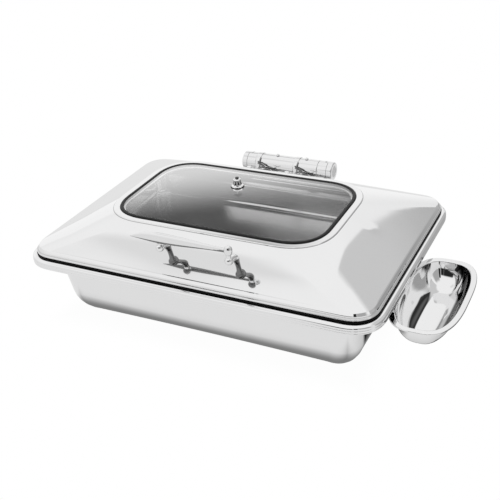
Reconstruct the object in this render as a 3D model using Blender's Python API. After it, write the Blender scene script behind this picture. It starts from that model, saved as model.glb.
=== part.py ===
"""Roll top chafer with a glass window: a deep rectangular water pan, a lift-out food pan, a lid on a
damped barrel hinge and a spoon bowl on the right. Metres, +Z up. The origin is the centre of the face
that the chafer stands on, the handle is at -Y and the hinge at +Y."""

import math

import bmesh
import bpy
from mathutils import Matrix, Vector

# Sheet and clearances
SHEET = 0.0015
GAP = 0.0003
CORNER_STEPS = 6

# Heights
PAN_FLOOR_Z = 0.003
LID_Z = 0.127
FLANGE_Z = LID_Z - 0.003
GLASS_RISE = 0.0543

# Flange and well of the water pan
FLANGE_X, FLANGE_Y, FLANGE_R = 0.293, 0.2016, 0.047
FLANGE_DROP = 0.013
FLANGE_BEAD = 0.0045
WELL_X, WELL_Y, WELL_R = 0.2655, 0.1750, 0.049
WELL_DRAFT = 0.175
WELL_FLOOR_R = 0.046
BASE_X, BASE_Y, BASE_R = 0.150, 0.100, 0.03

# Frame that holds the food pan, and the food pan, 530 by 325 mm over its rim and 40 mm deep
FRAME_X, FRAME_Y, FRAME_R = 0.272, 0.182, 0.040
FRAME_OPEN_X, FRAME_OPEN_Y, FRAME_OPEN_R = 0.2575, 0.155, 0.030
FRAME_SHEET = 0.0012
FOOD_X, FOOD_Y, FOOD_R = 0.265, 0.1625, 0.036
FOOD_WELL_INSET = 0.0125
FOOD_DEPTH = 0.040
FOOD_DRAFT = 0.09
FOOD_FLOOR_R = 0.018
FOOD_SHEET = 0.001

# Lid and its window
LID_X, LID_Y, LID_R = 0.285, 0.1936, 0.039
FOOT_INSET, FOOT_TOP = 0.0025, 0.0085
FACE_BULGE = 0.02
FACE_THICK_Z = 1.4 * SHEET
WINDOW_Y = -0.0083
GASKET_X, GASKET_Y, GASKET_R = 0.1766, 0.1068, 0.0553
TRIM_WIDTH = 0.0115
SEAT_DEPTH = 0.008
GLASS_THICK = 0.004
GASKET_WALL = 0.0036

# Handle
LEG_XS = {"left": -0.026, "right": 0.084}
LEG_Y = -0.169
GRIP_Y, GRIP_Z = -0.199, LID_Z + 0.0795
GRIP_LEFT, GRIP_RIGHT = -0.0745, LEG_XS["right"] - 0.006
GRIP_FAT_X = -0.024
GRIP_FAT_R, GRIP_NECK_R, GRIP_TIP_R = 0.0085, 0.0036, 0.0008
GRIP_FLAT = 0.62
PIN_R = 0.0018
BALL_R, BALL_DROP = 0.0062, 0.0155
# (reach share, rise share, radius) from a leg's foot to its ball
NECK = [(0.0, 0.0, 0.0042), (0.08, 0.30, 0.0036), (0.20, 0.58, 0.0040), (0.34, 0.80, 0.0054)]
NECK += [(0.52, 0.93, 0.0052), (0.72, 0.99, 0.0042), (0.92, 1.0, 0.0038)]

# Vent knob on the glass
VENT = Vector((-0.0205, 0.0336, LID_Z + GLASS_RISE))
VENT_HOLE_R = 0.0048

# Barrel hinge
HINGE = Vector((-0.0098, 0.2146, LID_Z + 0.0173))
BARREL_R = 0.0165
BARREL_HALF = 0.0595
BARREL_BORE = 0.0115
CAP_LENGTH = 0.0275
SHAFT_R = 0.0055
BARREL_SCREW_XS = {"left": -0.0210, "right": 0.0355}
COLLAR_XS = {"left": -0.0550, "right": 0.0185}
COLLAR_R = 0.0195
ARM_WIDTH = 0.009
PAD_WIDTH = 0.034
BRACKET_THICK = 0.0025

# Spoon bowl
BOWL = Vector((0.3285, -0.0435, LID_Z - 0.028))
BOWL_X, BOWL_Y, BOWL_POWER = 0.0515, 0.103, 3.0
BOWL_RIM = 0.0075
BOWL_DEPTH = 0.041


def clear_scene():
    for obj in list(bpy.data.objects):
        bpy.data.objects.remove(obj, do_unlink=True)


def material(name, colour, metallic, roughness, alpha=1.0):
    made = bpy.data.materials.new(name)
    made.use_nodes = True
    shader = made.node_tree.nodes["Principled BSDF"]
    shader.inputs["Base Color"].default_value = (*colour, 1.0)
    shader.inputs["Metallic"].default_value = metallic
    shader.inputs["Roughness"].default_value = roughness
    shader.inputs["Alpha"].default_value = alpha
    return made


def add_object(name, mesh_builder, look, joint=None, sharp=35.0):
    """Turns a bmesh in world space into a named object, hung on its joint's empty when it moves."""
    bmesh.ops.recalc_face_normals(mesh_builder, faces=mesh_builder.faces)
    mesh = bpy.data.meshes.new(name)
    mesh_builder.to_mesh(mesh)
    mesh_builder.free()
    mesh.shade_smooth()
    mesh.set_sharp_from_angle(angle=math.radians(sharp))
    mesh.materials.append(look)
    obj = bpy.data.objects.new(name, mesh)
    bpy.context.collection.objects.link(obj)
    if joint:
        obj.parent = joint
        obj.matrix_parent_inverse = Matrix.Translation(-joint.location)
    return obj


def joint_empty(name, place):
    empty = bpy.data.objects.new(name, None)
    empty.location = place
    empty.empty_display_size = 0.02
    bpy.context.collection.objects.link(empty)
    return empty


def cut(obj, cutter, name="cut"):
    """Takes the cutter out of the object with a Boolean that stays on it."""
    cutter.hide_render = True
    cutter.display_type = "WIRE"
    modifier = obj.modifiers.new(name, "BOOLEAN")
    modifier.operation = "DIFFERENCE"
    modifier.object = cutter


def join(obj, extra, name):
    """Adds a second closed shape to the object with a Boolean that stays on it."""
    extra.hide_render = True
    extra.display_type = "WIRE"
    modifier = obj.modifiers.new(name, "BOOLEAN")
    modifier.operation = "UNION"
    modifier.object = extra


def skin(rings, closed=False):
    """Faces between rings of equal length: capped at both ends, or closed round into a hoop."""
    builder = bmesh.new()
    rows = [[builder.verts.new(point) for point in ring] for ring in rings]
    pairs = list(zip(rows[:-1], rows[1:]))
    if closed:
        pairs.append((rows[-1], rows[0]))
    else:
        builder.faces.new(rows[0])
        builder.faces.new(rows[-1])
    for first, second in pairs:
        for i, start in enumerate(first):
            j = (i + 1) % len(first)
            builder.faces.new((start, first[j], second[j], second[i]))
    return builder


def rounded_ring(half_x, half_y, radius, z, centre_y=0.0, steps=CORNER_STEPS):
    """A rounded rectangle at height z, corner by corner."""
    points = []
    for corner in range(4):
        across = 1 if corner in (0, 3) else -1
        along = 1 if corner in (0, 1) else -1
        middle = Vector((across * (half_x - radius), centre_y + along * (half_y - radius), z))
        for step in range(steps + 1):
            angle = math.radians(90 * corner + 90 * step / steps)
            points.append(middle + radius * Vector((math.cos(angle), math.sin(angle), 0)))
    return points


def rounded_rings(half_x, half_y, radius, section, centre_y=0.0):
    """Rings from (inset, z) pairs, with each corner kept concentric."""
    least = 0.004
    return [
        rounded_ring(half_x - inset, half_y - inset, max(radius - inset, least), z, centre_y)
        for inset, z in section
    ]


def arc(radius, start, end, steps):
    """(cos, sin) pairs of an arc in degrees, times the radius."""
    angles = [math.radians(start + (end - start) * i / steps) for i in range(steps + 1)]
    return [(radius * math.cos(a), radius * math.sin(a)) for a in angles]


def turned(profile, centre, axis, sides=24, closed=False):
    """Rings of (radius, distance) pairs about an axis through the centre."""
    turn = Vector((0, 0, 1)).rotation_difference(axis).to_matrix()
    rings = []
    for radius, distance in profile:
        ring = []
        for i in range(sides):
            angle = 2 * math.pi * i / sides
            local = Vector((radius * math.cos(angle), radius * math.sin(angle), distance))
            ring.append(centre + turn @ local)
        rings.append(ring)
    return skin(rings, closed)


def box(low, high):
    builder = bmesh.new()
    bmesh.ops.create_cube(builder, size=1.0)
    low, high = Vector(low), Vector(high)
    for vert in builder.verts:
        vert.co = Vector([low[i] + (vert.co[i] + 0.5) * (high[i] - low[i]) for i in range(3)])
    return builder


def swept(path, radii, sides=12, flat=1.0):
    """A bar along a path in one plane of constant X, or along X; flat is its thickness over its height."""
    rings = []
    for i, point in enumerate(path):
        before, after = path[max(i - 1, 0)], path[min(i + 1, len(path) - 1)]
        ahead = (after - before).normalized()
        side = Vector((1, 0, 0)) if abs(ahead.x) < 0.5 else Vector((0, 1, 0))
        lift = ahead.cross(side).normalized()
        side = lift.cross(ahead)
        ring = []
        for k in range(sides):
            angle = 2 * math.pi * k / sides
            ring.append(point + radii[i] * (flat * math.cos(angle) * side + math.sin(angle) * lift))
        rings.append(ring)
    return skin(rings)


def extruded(outline, x_low, x_high):
    """A flat outline of (y, z) pairs, drawn out along X."""
    return skin([[Vector((x, y, z)) for y, z in outline] for x in (x_low, x_high)])


def well_section(depth, draft, floor_r, steps=5):
    """(inset, drop) pairs down a drafted wall, round the bottom edge and on to the floor."""
    wall = depth - floor_r
    pairs = [(0.0, 0.0), (draft * wall * 0.5, wall * 0.5), (draft * wall, wall)]
    for i in range(1, steps + 1):
        angle = math.radians(90 * i / steps)
        inset = draft * wall + floor_r * (1 - math.cos(angle))
        pairs.append((inset, wall + floor_r * math.sin(angle)))
    return pairs


def water_pan(look):
    depth = FLANGE_Z - SHEET - PAN_FLOOR_Z
    wall = well_section(depth, WELL_DRAFT, WELL_FLOOR_R)
    outer = [(inset, FLANGE_Z - SHEET - drop) for inset, drop in wall]
    inner = [(inset + SHEET, z + (SHEET if i > 2 else 0)) for i, (inset, z) in enumerate(outer)]
    inner[0] = (SHEET, FLANGE_Z)
    rings = rounded_rings(WELL_X, WELL_Y, WELL_R, reversed(inner))
    bend = FLANGE_Z - FLANGE_BEAD
    flange = [(FLANGE_BEAD - x, bend + z) for x, z in reversed(arc(FLANGE_BEAD, 0, 90, 4))]
    flange += [(0.0, FLANGE_Z - FLANGE_DROP), (SHEET, FLANGE_Z - FLANGE_DROP)]
    flange += [(SHEET, bend), (FLANGE_BEAD, FLANGE_Z - SHEET)]
    rings += rounded_rings(FLANGE_X, FLANGE_Y, FLANGE_R, flange)
    rings += rounded_rings(WELL_X, WELL_Y, WELL_R, outer)
    return add_object("water_pan", skin(rings), look)


def pan_support_frame(look):
    low = FLANGE_Z + GAP
    high = low + FRAME_SHEET
    outer = rounded_rings(FRAME_X, FRAME_Y, FRAME_R, [(0.0, low), (0.0, high)])
    inner = [(0.0, high), (0.0, low - 0.006), (-FRAME_SHEET, low - 0.006), (-FRAME_SHEET, low)]
    rings = outer + rounded_rings(FRAME_OPEN_X, FRAME_OPEN_Y, FRAME_OPEN_R, inner)
    return add_object("pan_support_frame", skin(rings, closed=True), look)


def induction_base(look):
    section = [(0.001, 0.0), (0.0, 0.001), (0.0, PAN_FLOOR_Z - GAP)]
    return add_object("induction_base", skin(rounded_rings(BASE_X, BASE_Y, BASE_R, section)), look)


def rim_seal(look):
    low, high = FLANGE_Z + GAP, LID_Z - GAP
    section = [(0.0, low), (0.0, high), (0.006, high), (0.006, low)]
    rings = rounded_rings(LID_X - 0.001, LID_Y - 0.001, LID_R - 0.001, section)
    return add_object("rim_seal", skin(rings, closed=True), look)


def food_pan(look, joint):
    top = FLANGE_Z + GAP + FRAME_SHEET + GAP + FOOD_SHEET
    depth = FOOD_DEPTH - FOOD_SHEET
    well = [
        (inset + FOOD_WELL_INSET, top - FOOD_SHEET - drop)
        for inset, drop in well_section(depth, FOOD_DRAFT, FOOD_FLOOR_R)
    ]
    inner = [(inset + FOOD_SHEET, z + (FOOD_SHEET if i > 2 else 0)) for i, (inset, z) in enumerate(well)]
    inner[0] = (well[0][0] + FOOD_SHEET, top)
    section = list(reversed(inner)) + [(0.0006, top), (0.0, top - FOOD_SHEET * 0.5)]
    section += [(0.0006, top - FOOD_SHEET)] + well
    return add_object("food_pan", skin(rounded_rings(FOOD_X, FOOD_Y, FOOD_R, section)), look, joint)


def lid_face(share):
    """Half sizes, corner radius, centre and height of the lid's face: share 0 is its foot, 1 its top."""
    trim_x, trim_y, trim_r = GASKET_X + TRIM_WIDTH, GASKET_Y + TRIM_WIDTH, GASKET_R + TRIM_WIDTH
    half_x = (LID_X - FOOT_INSET) * (1 - share) + trim_x * share
    half_y = (LID_Y - FOOT_INSET) * (1 - share) + trim_y * share
    radius = (LID_R - FOOT_INSET) * (1 - share) + trim_r * share
    rise = share + FACE_BULGE * math.sin(math.pi * share)
    z = LID_Z + FOOT_TOP + (GLASS_RISE - 0.001 - FOOT_TOP) * min(rise, 1.0)
    return half_x, half_y, radius, z, WINDOW_Y * share


def lid_height_at(y):
    """Height of the outside of the lid's front or back face at this y, on its centre line."""
    low, high = 0.0, 1.0
    for _ in range(40):
        share = (low + high) / 2
        _, half_y, _, z, centre = lid_face(share)
        if abs(y - centre) < half_y:
            low = share
        else:
            high = share
    return z


def lid_shell(look, joint):
    foot = [(0.0012, 0.0), (0.0, 0.001), (0.0, 0.0032), (0.0016, 0.0040), (0.0016, 0.0048)]
    foot += [(0.0003, 0.0058), (0.0006, 0.0072)]
    rings = rounded_rings(LID_X, LID_Y, LID_R, [(inset, LID_Z + z) for inset, z in foot])
    steps = 6
    shares = [i / steps for i in range(steps + 1)]
    for share in shares:
        half_x, half_y, radius, z, centre = lid_face(share)
        rings.append(rounded_ring(half_x, half_y, radius, z, centre))
    top = LID_Z + GLASS_RISE
    open_x, open_y, open_r = GASKET_X + GAP, GASKET_Y + GAP, GASKET_R + GAP
    trim = [(-TRIM_WIDTH + 0.0015, top), (-0.0015, top), (0.0, top - 0.001), (0.0, top - SEAT_DEPTH)]
    trim += [(-SHEET, top - SEAT_DEPTH), (-SHEET, top - 0.003)]
    rings += rounded_rings(open_x, open_y, open_r, trim, WINDOW_Y)
    for share in reversed(shares[:-1]):
        half_x, half_y, radius, z, centre = lid_face(share)
        under = z - FACE_THICK_Z
        rings.append(rounded_ring(half_x - SHEET, half_y - SHEET, radius - SHEET, under, centre))
    rings += rounded_rings(LID_X, LID_Y, LID_R, [(0.0034, LID_Z + 0.004), (0.0034, LID_Z)])
    shell = add_object("lid_shell", skin(rings, closed=True), look, joint)
    for side, x in LEG_XS.items():
        normal = leg_normal()
        place = Vector((x, LEG_Y, lid_height_at(LEG_Y)))
        drill = turned([(0.0030, -0.012), (0.0030, 0.008)], place, normal, 16)
        cut(shell, add_object(f"stud_hole_{side}", drill, look, joint), f"stud_hole_{side}")
    return shell


def window_gasket(look, joint):
    top = LID_Z + GLASS_RISE
    section = [(0.0, top - 0.009), (0.0, top + 0.0008), (0.0012, top + 0.002), (0.0042, top + 0.002)]
    section += [(0.0056, top + 0.0008), (0.0056, top + GAP), (GASKET_WALL, top + GAP)]
    section += [(GASKET_WALL, top - 0.009)]
    rings = rounded_rings(GASKET_X, GASKET_Y, GASKET_R, section, WINDOW_Y)
    return add_object("window_gasket", skin(rings, closed=True), look, joint)


def window_glass(look, joint):
    top = LID_Z + GLASS_RISE
    inset = GASKET_WALL + GAP
    section = [(inset, top - GLASS_THICK), (inset, top)]
    rings = rounded_rings(GASKET_X, GASKET_Y, GASKET_R, section, WINDOW_Y)
    glass = add_object("window_glass", skin(rings), look, joint)
    drill = turned([(VENT_HOLE_R, -0.012), (VENT_HOLE_R, 0.006)], VENT, Vector((0, 0, 1)), 20)
    cut(glass, add_object("vent_hole", drill, look, joint))
    return glass


def window_clamp(look, joint):
    high = LID_Z + GLASS_RISE - GLASS_THICK - GAP
    low = high - 0.0025
    outer, inner = GASKET_WALL + GAP, 0.0078
    section = [(outer, low), (outer, high), (inner, high), (inner, low)]
    rings = rounded_rings(GASKET_X, GASKET_Y, GASKET_R, section, WINDOW_Y)
    return add_object("window_clamp", skin(rings, closed=True), look, joint)


def leg_normal():
    """Outward normal of the lid's front face where the handle stands."""
    reach = 0.004
    rise = lid_height_at(LEG_Y + reach) - lid_height_at(LEG_Y - reach)
    return Vector((0, -rise, 2 * reach)).normalized()


def leg_foot(x):
    return Vector((x, LEG_Y, lid_height_at(LEG_Y))) + leg_normal() * GAP


def handle_leg(side, x, look, joint):
    """A swan neck: from a round foot over a thick shoulder to a ball, whose pin carries the grip."""
    foot = leg_foot(x)
    normal = leg_normal()
    plinth = turned(
        [(0.0075, 0.0005), (0.0075, 0.0015), (0.0045, 0.0035), (0.0042, 0.006)], foot, normal, 16
    )
    stud = turned([(0.0024, -0.0085), (0.0024, 0.003)], foot, normal, 12)
    start = foot + normal * 0.004
    ball_at = Vector((x, GRIP_Y, GRIP_Z - BALL_DROP))
    reach, rise = ball_at.y - start.y, ball_at.z - start.z
    neck_path = [start + Vector((0, reach * a, rise * b)) for a, b, _ in NECK]
    neck = swept(neck_path, [radius for _, _, radius in NECK], 12)
    ball = bmesh.new()
    bmesh.ops.create_uvsphere(
        ball, u_segments=14, v_segments=9, radius=BALL_R, matrix=Matrix.Translation(ball_at)
    )
    pin = swept([ball_at, Vector((x, GRIP_Y, GRIP_Z - GAP))], [PIN_R, PIN_R], 12)
    leg = add_object(f"handle_leg_{side}", plinth, look, joint)
    for name, shape in (("stud", stud), ("neck", neck), ("ball", ball), ("pin", pin)):
        join(leg, add_object(f"{name}_{side}", shape, look, joint), name)
    return leg


def handle_nut(side, x, look, joint):
    centre = leg_foot(x)
    low, high = -0.0085, -0.0035
    profile = [(0.0030, low), (0.0058, low), (0.0058, high), (0.0030, high)]
    return add_object(
        f"handle_nut_{side}", turned(profile, centre, leg_normal(), 6, closed=True), look, joint
    )


def grip_radius(x):
    """A long leaf: a fine left tip, fattest left of the middle, slim at the right."""
    if x <= GRIP_FAT_X:
        share = (x - GRIP_LEFT) / (GRIP_FAT_X - GRIP_LEFT)
        return GRIP_TIP_R + (GRIP_FAT_R - GRIP_TIP_R) * math.sin(share * math.pi / 2)
    share = (x - GRIP_FAT_X) / (GRIP_RIGHT - GRIP_FAT_X)
    ease = 0.5 - 0.5 * math.cos(math.pi * min(share, 1.0))
    return GRIP_FAT_R + (GRIP_NECK_R - GRIP_FAT_R) * ease


def grip_axis(x):
    """The grip runs straight along X and dips a little towards its free tip."""
    beyond = max(GRIP_FAT_X - x, 0.0)
    return Vector((x, GRIP_Y, GRIP_Z - 2.0 * beyond**2))


def handle_grip(look, joint):
    count = 16
    xs = [GRIP_LEFT + (GRIP_RIGHT - GRIP_LEFT) * i / count for i in range(count + 1)]
    radii = [grip_radius(x) for x in xs]
    knob = [(0.002, 0.0046), (0.006, 0.0056), (0.010, 0.0046), (0.0125, 0.0024)]
    xs += [GRIP_RIGHT + step for step, _ in knob]
    radii += [radius for _, radius in knob]
    bar = swept([grip_axis(x) for x in xs], radii, 14, GRIP_FLAT)
    grip = add_object("handle_grip", bar, look, joint)
    for side, x in LEG_XS.items():
        low = Vector((x, GRIP_Y, GRIP_Z - BALL_DROP))
        seat = turned([(PIN_R + GAP, 0.0), (PIN_R + GAP, BALL_DROP)], low, Vector((0, 0, 1)), 12)
        cut(grip, add_object(f"pin_seat_{side}", seat, look, joint), f"pin_seat_{side}")
    return grip


def vent_parts(looks, lid_joint, cap_joint):
    up = Vector((0, 0, 1))
    washer = [(VENT_HOLE_R + GAP, GAP), (0.0115, GAP), (0.0105, 0.0014), (VENT_HOLE_R + GAP, 0.0014)]
    add_object("vent_washer", turned(washer, VENT, up, 24, closed=True), looks["rubber"], lid_joint)
    stem = [(0.0040, -0.0095), (0.0040, 0.0018), (0.0092, 0.0018), (0.0092, 0.0052), (0.0066, 0.0066)]
    stem += [(0.0066, 0.0096), (0.0030, 0.0096), (0.0030, 0.0150)]
    add_object("vent_stem", turned(stem, VENT, up, 20), looks["steel"], lid_joint)
    under = -GLASS_THICK - GAP
    nut = [(0.0049, under - 0.0045), (0.0085, under - 0.0045), (0.0085, under), (0.0049, under)]
    add_object("vent_nut", turned(nut, VENT, up, 6, closed=True), looks["steel"], lid_joint)
    cap = [(0.0034, 0.0100), (0.0088, 0.0100), (0.0092, 0.0112), (0.0080, 0.0152), (0.0034, 0.0152)]
    add_object("vent_cap", turned(cap, VENT, up, 24, closed=True), looks["steel"], cap_joint)
    screw = [(0.0050, 0.0155), (0.0050, 0.0168), (0.0030, 0.0182)]
    add_object("vent_cap_screw", turned(screw, VENT, up, 14), looks["dark"], cap_joint)


def hinge_parts(looks, lid_joint, piston_joint):
    along = Vector((1, 0, 0))
    barrel = [(BARREL_BORE, -BARREL_HALF), (BARREL_R, -BARREL_HALF), (BARREL_R, BARREL_HALF)]
    barrel += [(BARREL_BORE, BARREL_HALF)]
    add_object("hinge_barrel", turned(barrel, HINGE, along, 32, closed=True), looks["steel"])
    for side, sign in (("left", -1), ("right", 1)):
        face, plug, bore = BARREL_HALF + GAP, 0.012, SHAFT_R + 0.0005
        cap = [(BARREL_BORE - 0.0005, face - plug), (BARREL_BORE - 0.0005, face), (BARREL_R, face)]
        cap += [(BARREL_R, face + CAP_LENGTH - 0.001), (BARREL_R - 0.001, face + CAP_LENGTH)]
        cap += [(bore, face + CAP_LENGTH), (bore, face - plug)]
        ring = turned(cap, HINGE, along * sign, 32, closed=True)
        add_object(f"hinge_end_cap_{side}", ring, looks["steel"])
        screw = [(0.0034, 0.0), (0.0034, 0.0008), (0.0020, 0.0019)]
        top = HINGE + Vector((BARREL_SCREW_XS[side], 0, BARREL_R + GAP))
        add_object(f"barrel_screw_{side}", turned(screw, top, Vector((0, 0, 1)), 14), looks["dark"])
    end = BARREL_HALF + CAP_LENGTH - 0.002
    shaft = [(SHAFT_R, -end), (SHAFT_R, end)]
    add_object("hinge_shaft", turned(shaft, HINGE, along, 16), looks["dark"], lid_joint)
    cam = [(SHAFT_R + GAP, 0.010), (0.0105, 0.010), (0.0105, 0.030), (SHAFT_R + GAP, 0.030)]
    add_object("damper_cam", turned(cam, HINGE, along, 20, closed=True), looks["dark"], lid_joint)
    piston = [(SHAFT_R + GAP, -0.022), (0.0109, -0.022), (0.0109, -0.004), (SHAFT_R + GAP, -0.004)]
    add_object("damper_piston", turned(piston, HINGE, along, 20, closed=True), looks["steel"], piston_joint)


def hinge_bracket(looks):
    """A shelf under the barrel that turns down over the flange's back and is screwed to it."""
    low = FLANGE_Z - FLANGE_DROP
    back, thick = FLANGE_Y + GAP, BRACKET_THICK
    plate_low, plate_high = FLANGE_Z + GAP, HINGE.z - BARREL_R - GAP
    front = LID_Y + 0.0022
    outline = [(front, plate_low), (front, plate_high), (HINGE.y + 0.006, plate_high)]
    outline += [(back + thick, plate_low - 0.004), (back + thick, low), (back, low), (back, plate_low)]
    half = BARREL_HALF + 0.010
    bracket = extruded(outline, HINGE.x - half, HINGE.x + half)
    bracket = add_object("hinge_bracket", bracket, looks["steel"])
    for side, offset in COLLAR_XS.items():
        reach = ARM_WIDTH / 2 + 0.0012
        notch_low = (HINGE.x + offset - reach, front - 0.002, HINGE.z - COLLAR_R - 0.0004)
        notch_high = (HINGE.x + offset + reach, HINGE.y + 0.02, HINGE.z)
        notch = add_object(f"collar_notch_{side}", box(notch_low, notch_high), looks["steel"])
        cut(bracket, notch, f"collar_notch_{side}")
    for side, sign in (("left", -1), ("right", 1)):
        head = [(0.0036, 0.0), (0.0036, 0.0010), (0.0022, 0.0024)]
        place = Vector((HINGE.x + sign * (half - 0.012), back + thick + GAP, low + 0.0045))
        add_object(f"bracket_screw_{side}", turned(head, place, Vector((0, 1, 0)), 14), looks["steel"])


def lid_arm(side, looks, joint):
    """A collar round the barrel, a leg over the lid's foot, a wide pad on the back face and a gusset."""
    half = ARM_WIDTH / 2
    left = HINGE.x + COLLAR_XS[side] - half
    right = left + ARM_WIDTH
    pad_right = left + PAD_WIDTH
    bore = BARREL_R + GAP
    ring = [(bore, -half), (COLLAR_R, -half), (COLLAR_R, half), (bore, half)]
    middle = Vector((left + half, HINGE.y, HINGE.z))
    collar = turned(ring, middle, Vector((1, 0, 0)), 32, closed=True)
    arm = add_object(f"lid_arm_{side}", collar, looks["steel"], joint)
    pad_back, pad_front = LID_Y - 0.008, LID_Y - 0.034
    lift, thick = 0.0006, 0.0030
    z_back, z_front = lid_height_at(pad_back) + lift, lid_height_at(pad_front) + lift
    front = HINGE.y - bore - 0.0010
    web_back = front - 0.0015
    web_front = web_back - 0.0020
    pad_end = web_front + 0.0014
    pad_outline = [(pad_front, z_front), (pad_front, z_front + thick), (pad_back, z_back + thick)]
    pad_outline += [(pad_end, z_back + thick), (pad_end, z_back), (pad_back, z_back)]
    leg_low, leg_high = z_back + 0.0005, z_back + thick + 0.0012
    leg_outline = [(pad_back - 0.006, leg_low + 0.0026), (pad_back - 0.006, leg_high + 0.0014)]
    leg_outline += [(pad_back, leg_high), (web_front - 0.0006, leg_high + 0.0024)]
    leg_outline += [(HINGE.y - 0.0142, HINGE.z + 0.0145), (front - 0.0004, HINGE.z - 0.0026)]
    leg_outline += [(web_front - 0.0006, HINGE.z - 0.0026), (web_front - 0.0006, leg_low)]
    leg_outline += [(pad_back, leg_low)]
    web_corners = [(right - 0.002, HINGE.z + 0.0118), (right - 0.002, HINGE.z - 0.0060)]
    web_corners += [(pad_right - 0.0004, HINGE.z - 0.0060), (pad_right - 0.0004, HINGE.z - 0.0030)]
    web = skin([[Vector((x, y, z)) for x, z in web_corners] for y in (web_front, web_back)])
    extras = {
        "leg": extruded(leg_outline, left + 0.0003, right - 0.0003),
        "pad": extruded(pad_outline, left - 0.0003, pad_right),
        "web": web,
    }
    for name, shape in extras.items():
        join(arm, add_object(f"arm_{name}_{side}", shape, looks["steel"], joint), name)
    slope = Vector((0, z_front - z_back, pad_back - pad_front)).normalized()
    spot_y, spot_z = (pad_back + pad_front) / 2, (z_back + z_front) / 2 + thick
    for place, share in (("outer", 0.2), ("inner", 0.8)):
        spot = Vector((left + PAD_WIDTH * share, spot_y, spot_z)) + slope * GAP
        head = [(0.0036, 0.0), (0.0036, 0.0008), (0.0022, 0.0021)]
        add_object(f"arm_screw_{side}_{place}", turned(head, spot, slope, 12), looks["steel"], joint)


def bowl_ring(grow, z, sides=32):
    """A superellipse round the bowl's centre; grow is added to both half sizes."""
    ring = []
    for i in range(sides):
        angle = 2 * math.pi * i / sides
        c, s = math.cos(angle), math.sin(angle)
        x = math.copysign(abs(c) ** (2 / BOWL_POWER), c) * (BOWL_X + grow)
        y = math.copysign(abs(s) ** (2 / BOWL_POWER), s) * (BOWL_Y + grow)
        ring.append(BOWL + Vector((x, y, z)))
    return ring


def spoon_bowl(look, joint):
    steps = 6
    outer = [(-BOWL_RIM, -SHEET)]
    for i in range(1, steps + 1):
        angle = math.radians(90 * i / steps)
        shrink = 0.030 * (1 - math.cos(angle)) + 0.004 * i / steps
        outer.append((-BOWL_RIM - shrink, -SHEET - (BOWL_DEPTH - SHEET) * math.sin(angle)))
    inner = [(grow - SHEET, z + (SHEET if z < -0.004 else 0.0)) for grow, z in outer]
    inner[0] = (-BOWL_RIM - SHEET, 0.0)
    rings = [bowl_ring(grow, z) for grow, z in reversed(inner)]
    rings += [bowl_ring(-0.0008, 0.0), bowl_ring(0.0, -0.0008), bowl_ring(-0.0008, -SHEET)]
    rings += [bowl_ring(grow, z) for grow, z in outer]
    return add_object("spoon_bowl", skin(rings), look, joint)


def bowl_mount(looks, joint):
    tongue_top = BOWL.z - SHEET - GAP
    tongue = 0.002
    half = 0.025
    inner_edge = BOWL.x - BOWL_X
    low = (WELL_X - 0.0022, BOWL.y - half, tongue_top - tongue)
    high = (inner_edge + BOWL_RIM - 0.0006, BOWL.y + half, tongue_top)
    add_object("bowl_tongue", box(low, high), looks["steel"], joint)
    leg_x, foot_z, reach = WELL_X + 0.0018, BOWL.z - 0.010, 0.018
    under, plate, wide = FLANGE_Z - SHEET - GAP, 0.002, half + 0.005
    outline = [(leg_x, foot_z), (leg_x, under), (leg_x + reach, under), (leg_x + reach, under - plate)]
    outline += [(leg_x + plate, under - plate), (leg_x + plate, foot_z)]
    rings = [[Vector((x, BOWL.y + side * wide, z)) for x, z in outline] for side in (-1, 1)]
    bracket = add_object("bowl_bracket", skin(rings), looks["steel"])
    slot_low = (leg_x - 0.003, BOWL.y - half - 0.0006, tongue_top - tongue - 0.0006)
    slot_high = (leg_x + 0.005, BOWL.y + half + 0.0006, tongue_top + 0.0006)
    cut(bracket, add_object("tongue_slot", box(slot_low, slot_high), looks["steel"]))


def build():
    clear_scene()
    looks = {
        "steel": material("polished_steel", (0.80, 0.80, 0.80), 1.0, 0.06),
        "satin": material("satin_steel", (0.62, 0.62, 0.62), 1.0, 0.28),
        "dark": material("dark_steel", (0.18, 0.18, 0.18), 1.0, 0.30),
        "rubber": material("black_silicone", (0.015, 0.015, 0.015), 0.0, 0.45),
        "glass": material("window_glass", (0.85, 0.88, 0.88), 0.0, 0.02, 0.25),
    }
    lid_joint = joint_empty("lid_hinge_axis", HINGE)
    pan_joint = joint_empty("food_pan_lift_axis", Vector((0, 0, FLANGE_Z)))
    bowl_joint = joint_empty("spoon_bowl_slide_axis", BOWL)
    cap_joint = joint_empty("vent_cap_axis", VENT)
    piston_joint = joint_empty("damper_piston_axis", HINGE)
    water_pan(looks["steel"])
    induction_base(looks["satin"])
    pan_support_frame(looks["steel"])
    rim_seal(looks["rubber"])
    food_pan(looks["satin"], pan_joint)
    lid_shell(looks["steel"], lid_joint)
    window_gasket(looks["rubber"], lid_joint)
    window_glass(looks["glass"], lid_joint)
    window_clamp(looks["satin"], lid_joint)
    handle_grip(looks["steel"], lid_joint)
    for side, x in LEG_XS.items():
        handle_leg(side, x, looks["steel"], lid_joint)
        handle_nut(side, x, looks["steel"], lid_joint)
    vent_parts(looks, lid_joint, cap_joint)
    hinge_parts(looks, lid_joint, piston_joint)
    hinge_bracket(looks)
    for side in COLLAR_XS:
        lid_arm(side, looks, lid_joint)
    spoon_bowl(looks["steel"], bowl_joint)
    bowl_mount(looks, bowl_joint)


build()
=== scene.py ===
"""Finished surfaces, materials and studio for the roll top chafer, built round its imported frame."""

import math

import bmesh
import bpy
import numpy as np
from mathutils import Matrix, Vector

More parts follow.
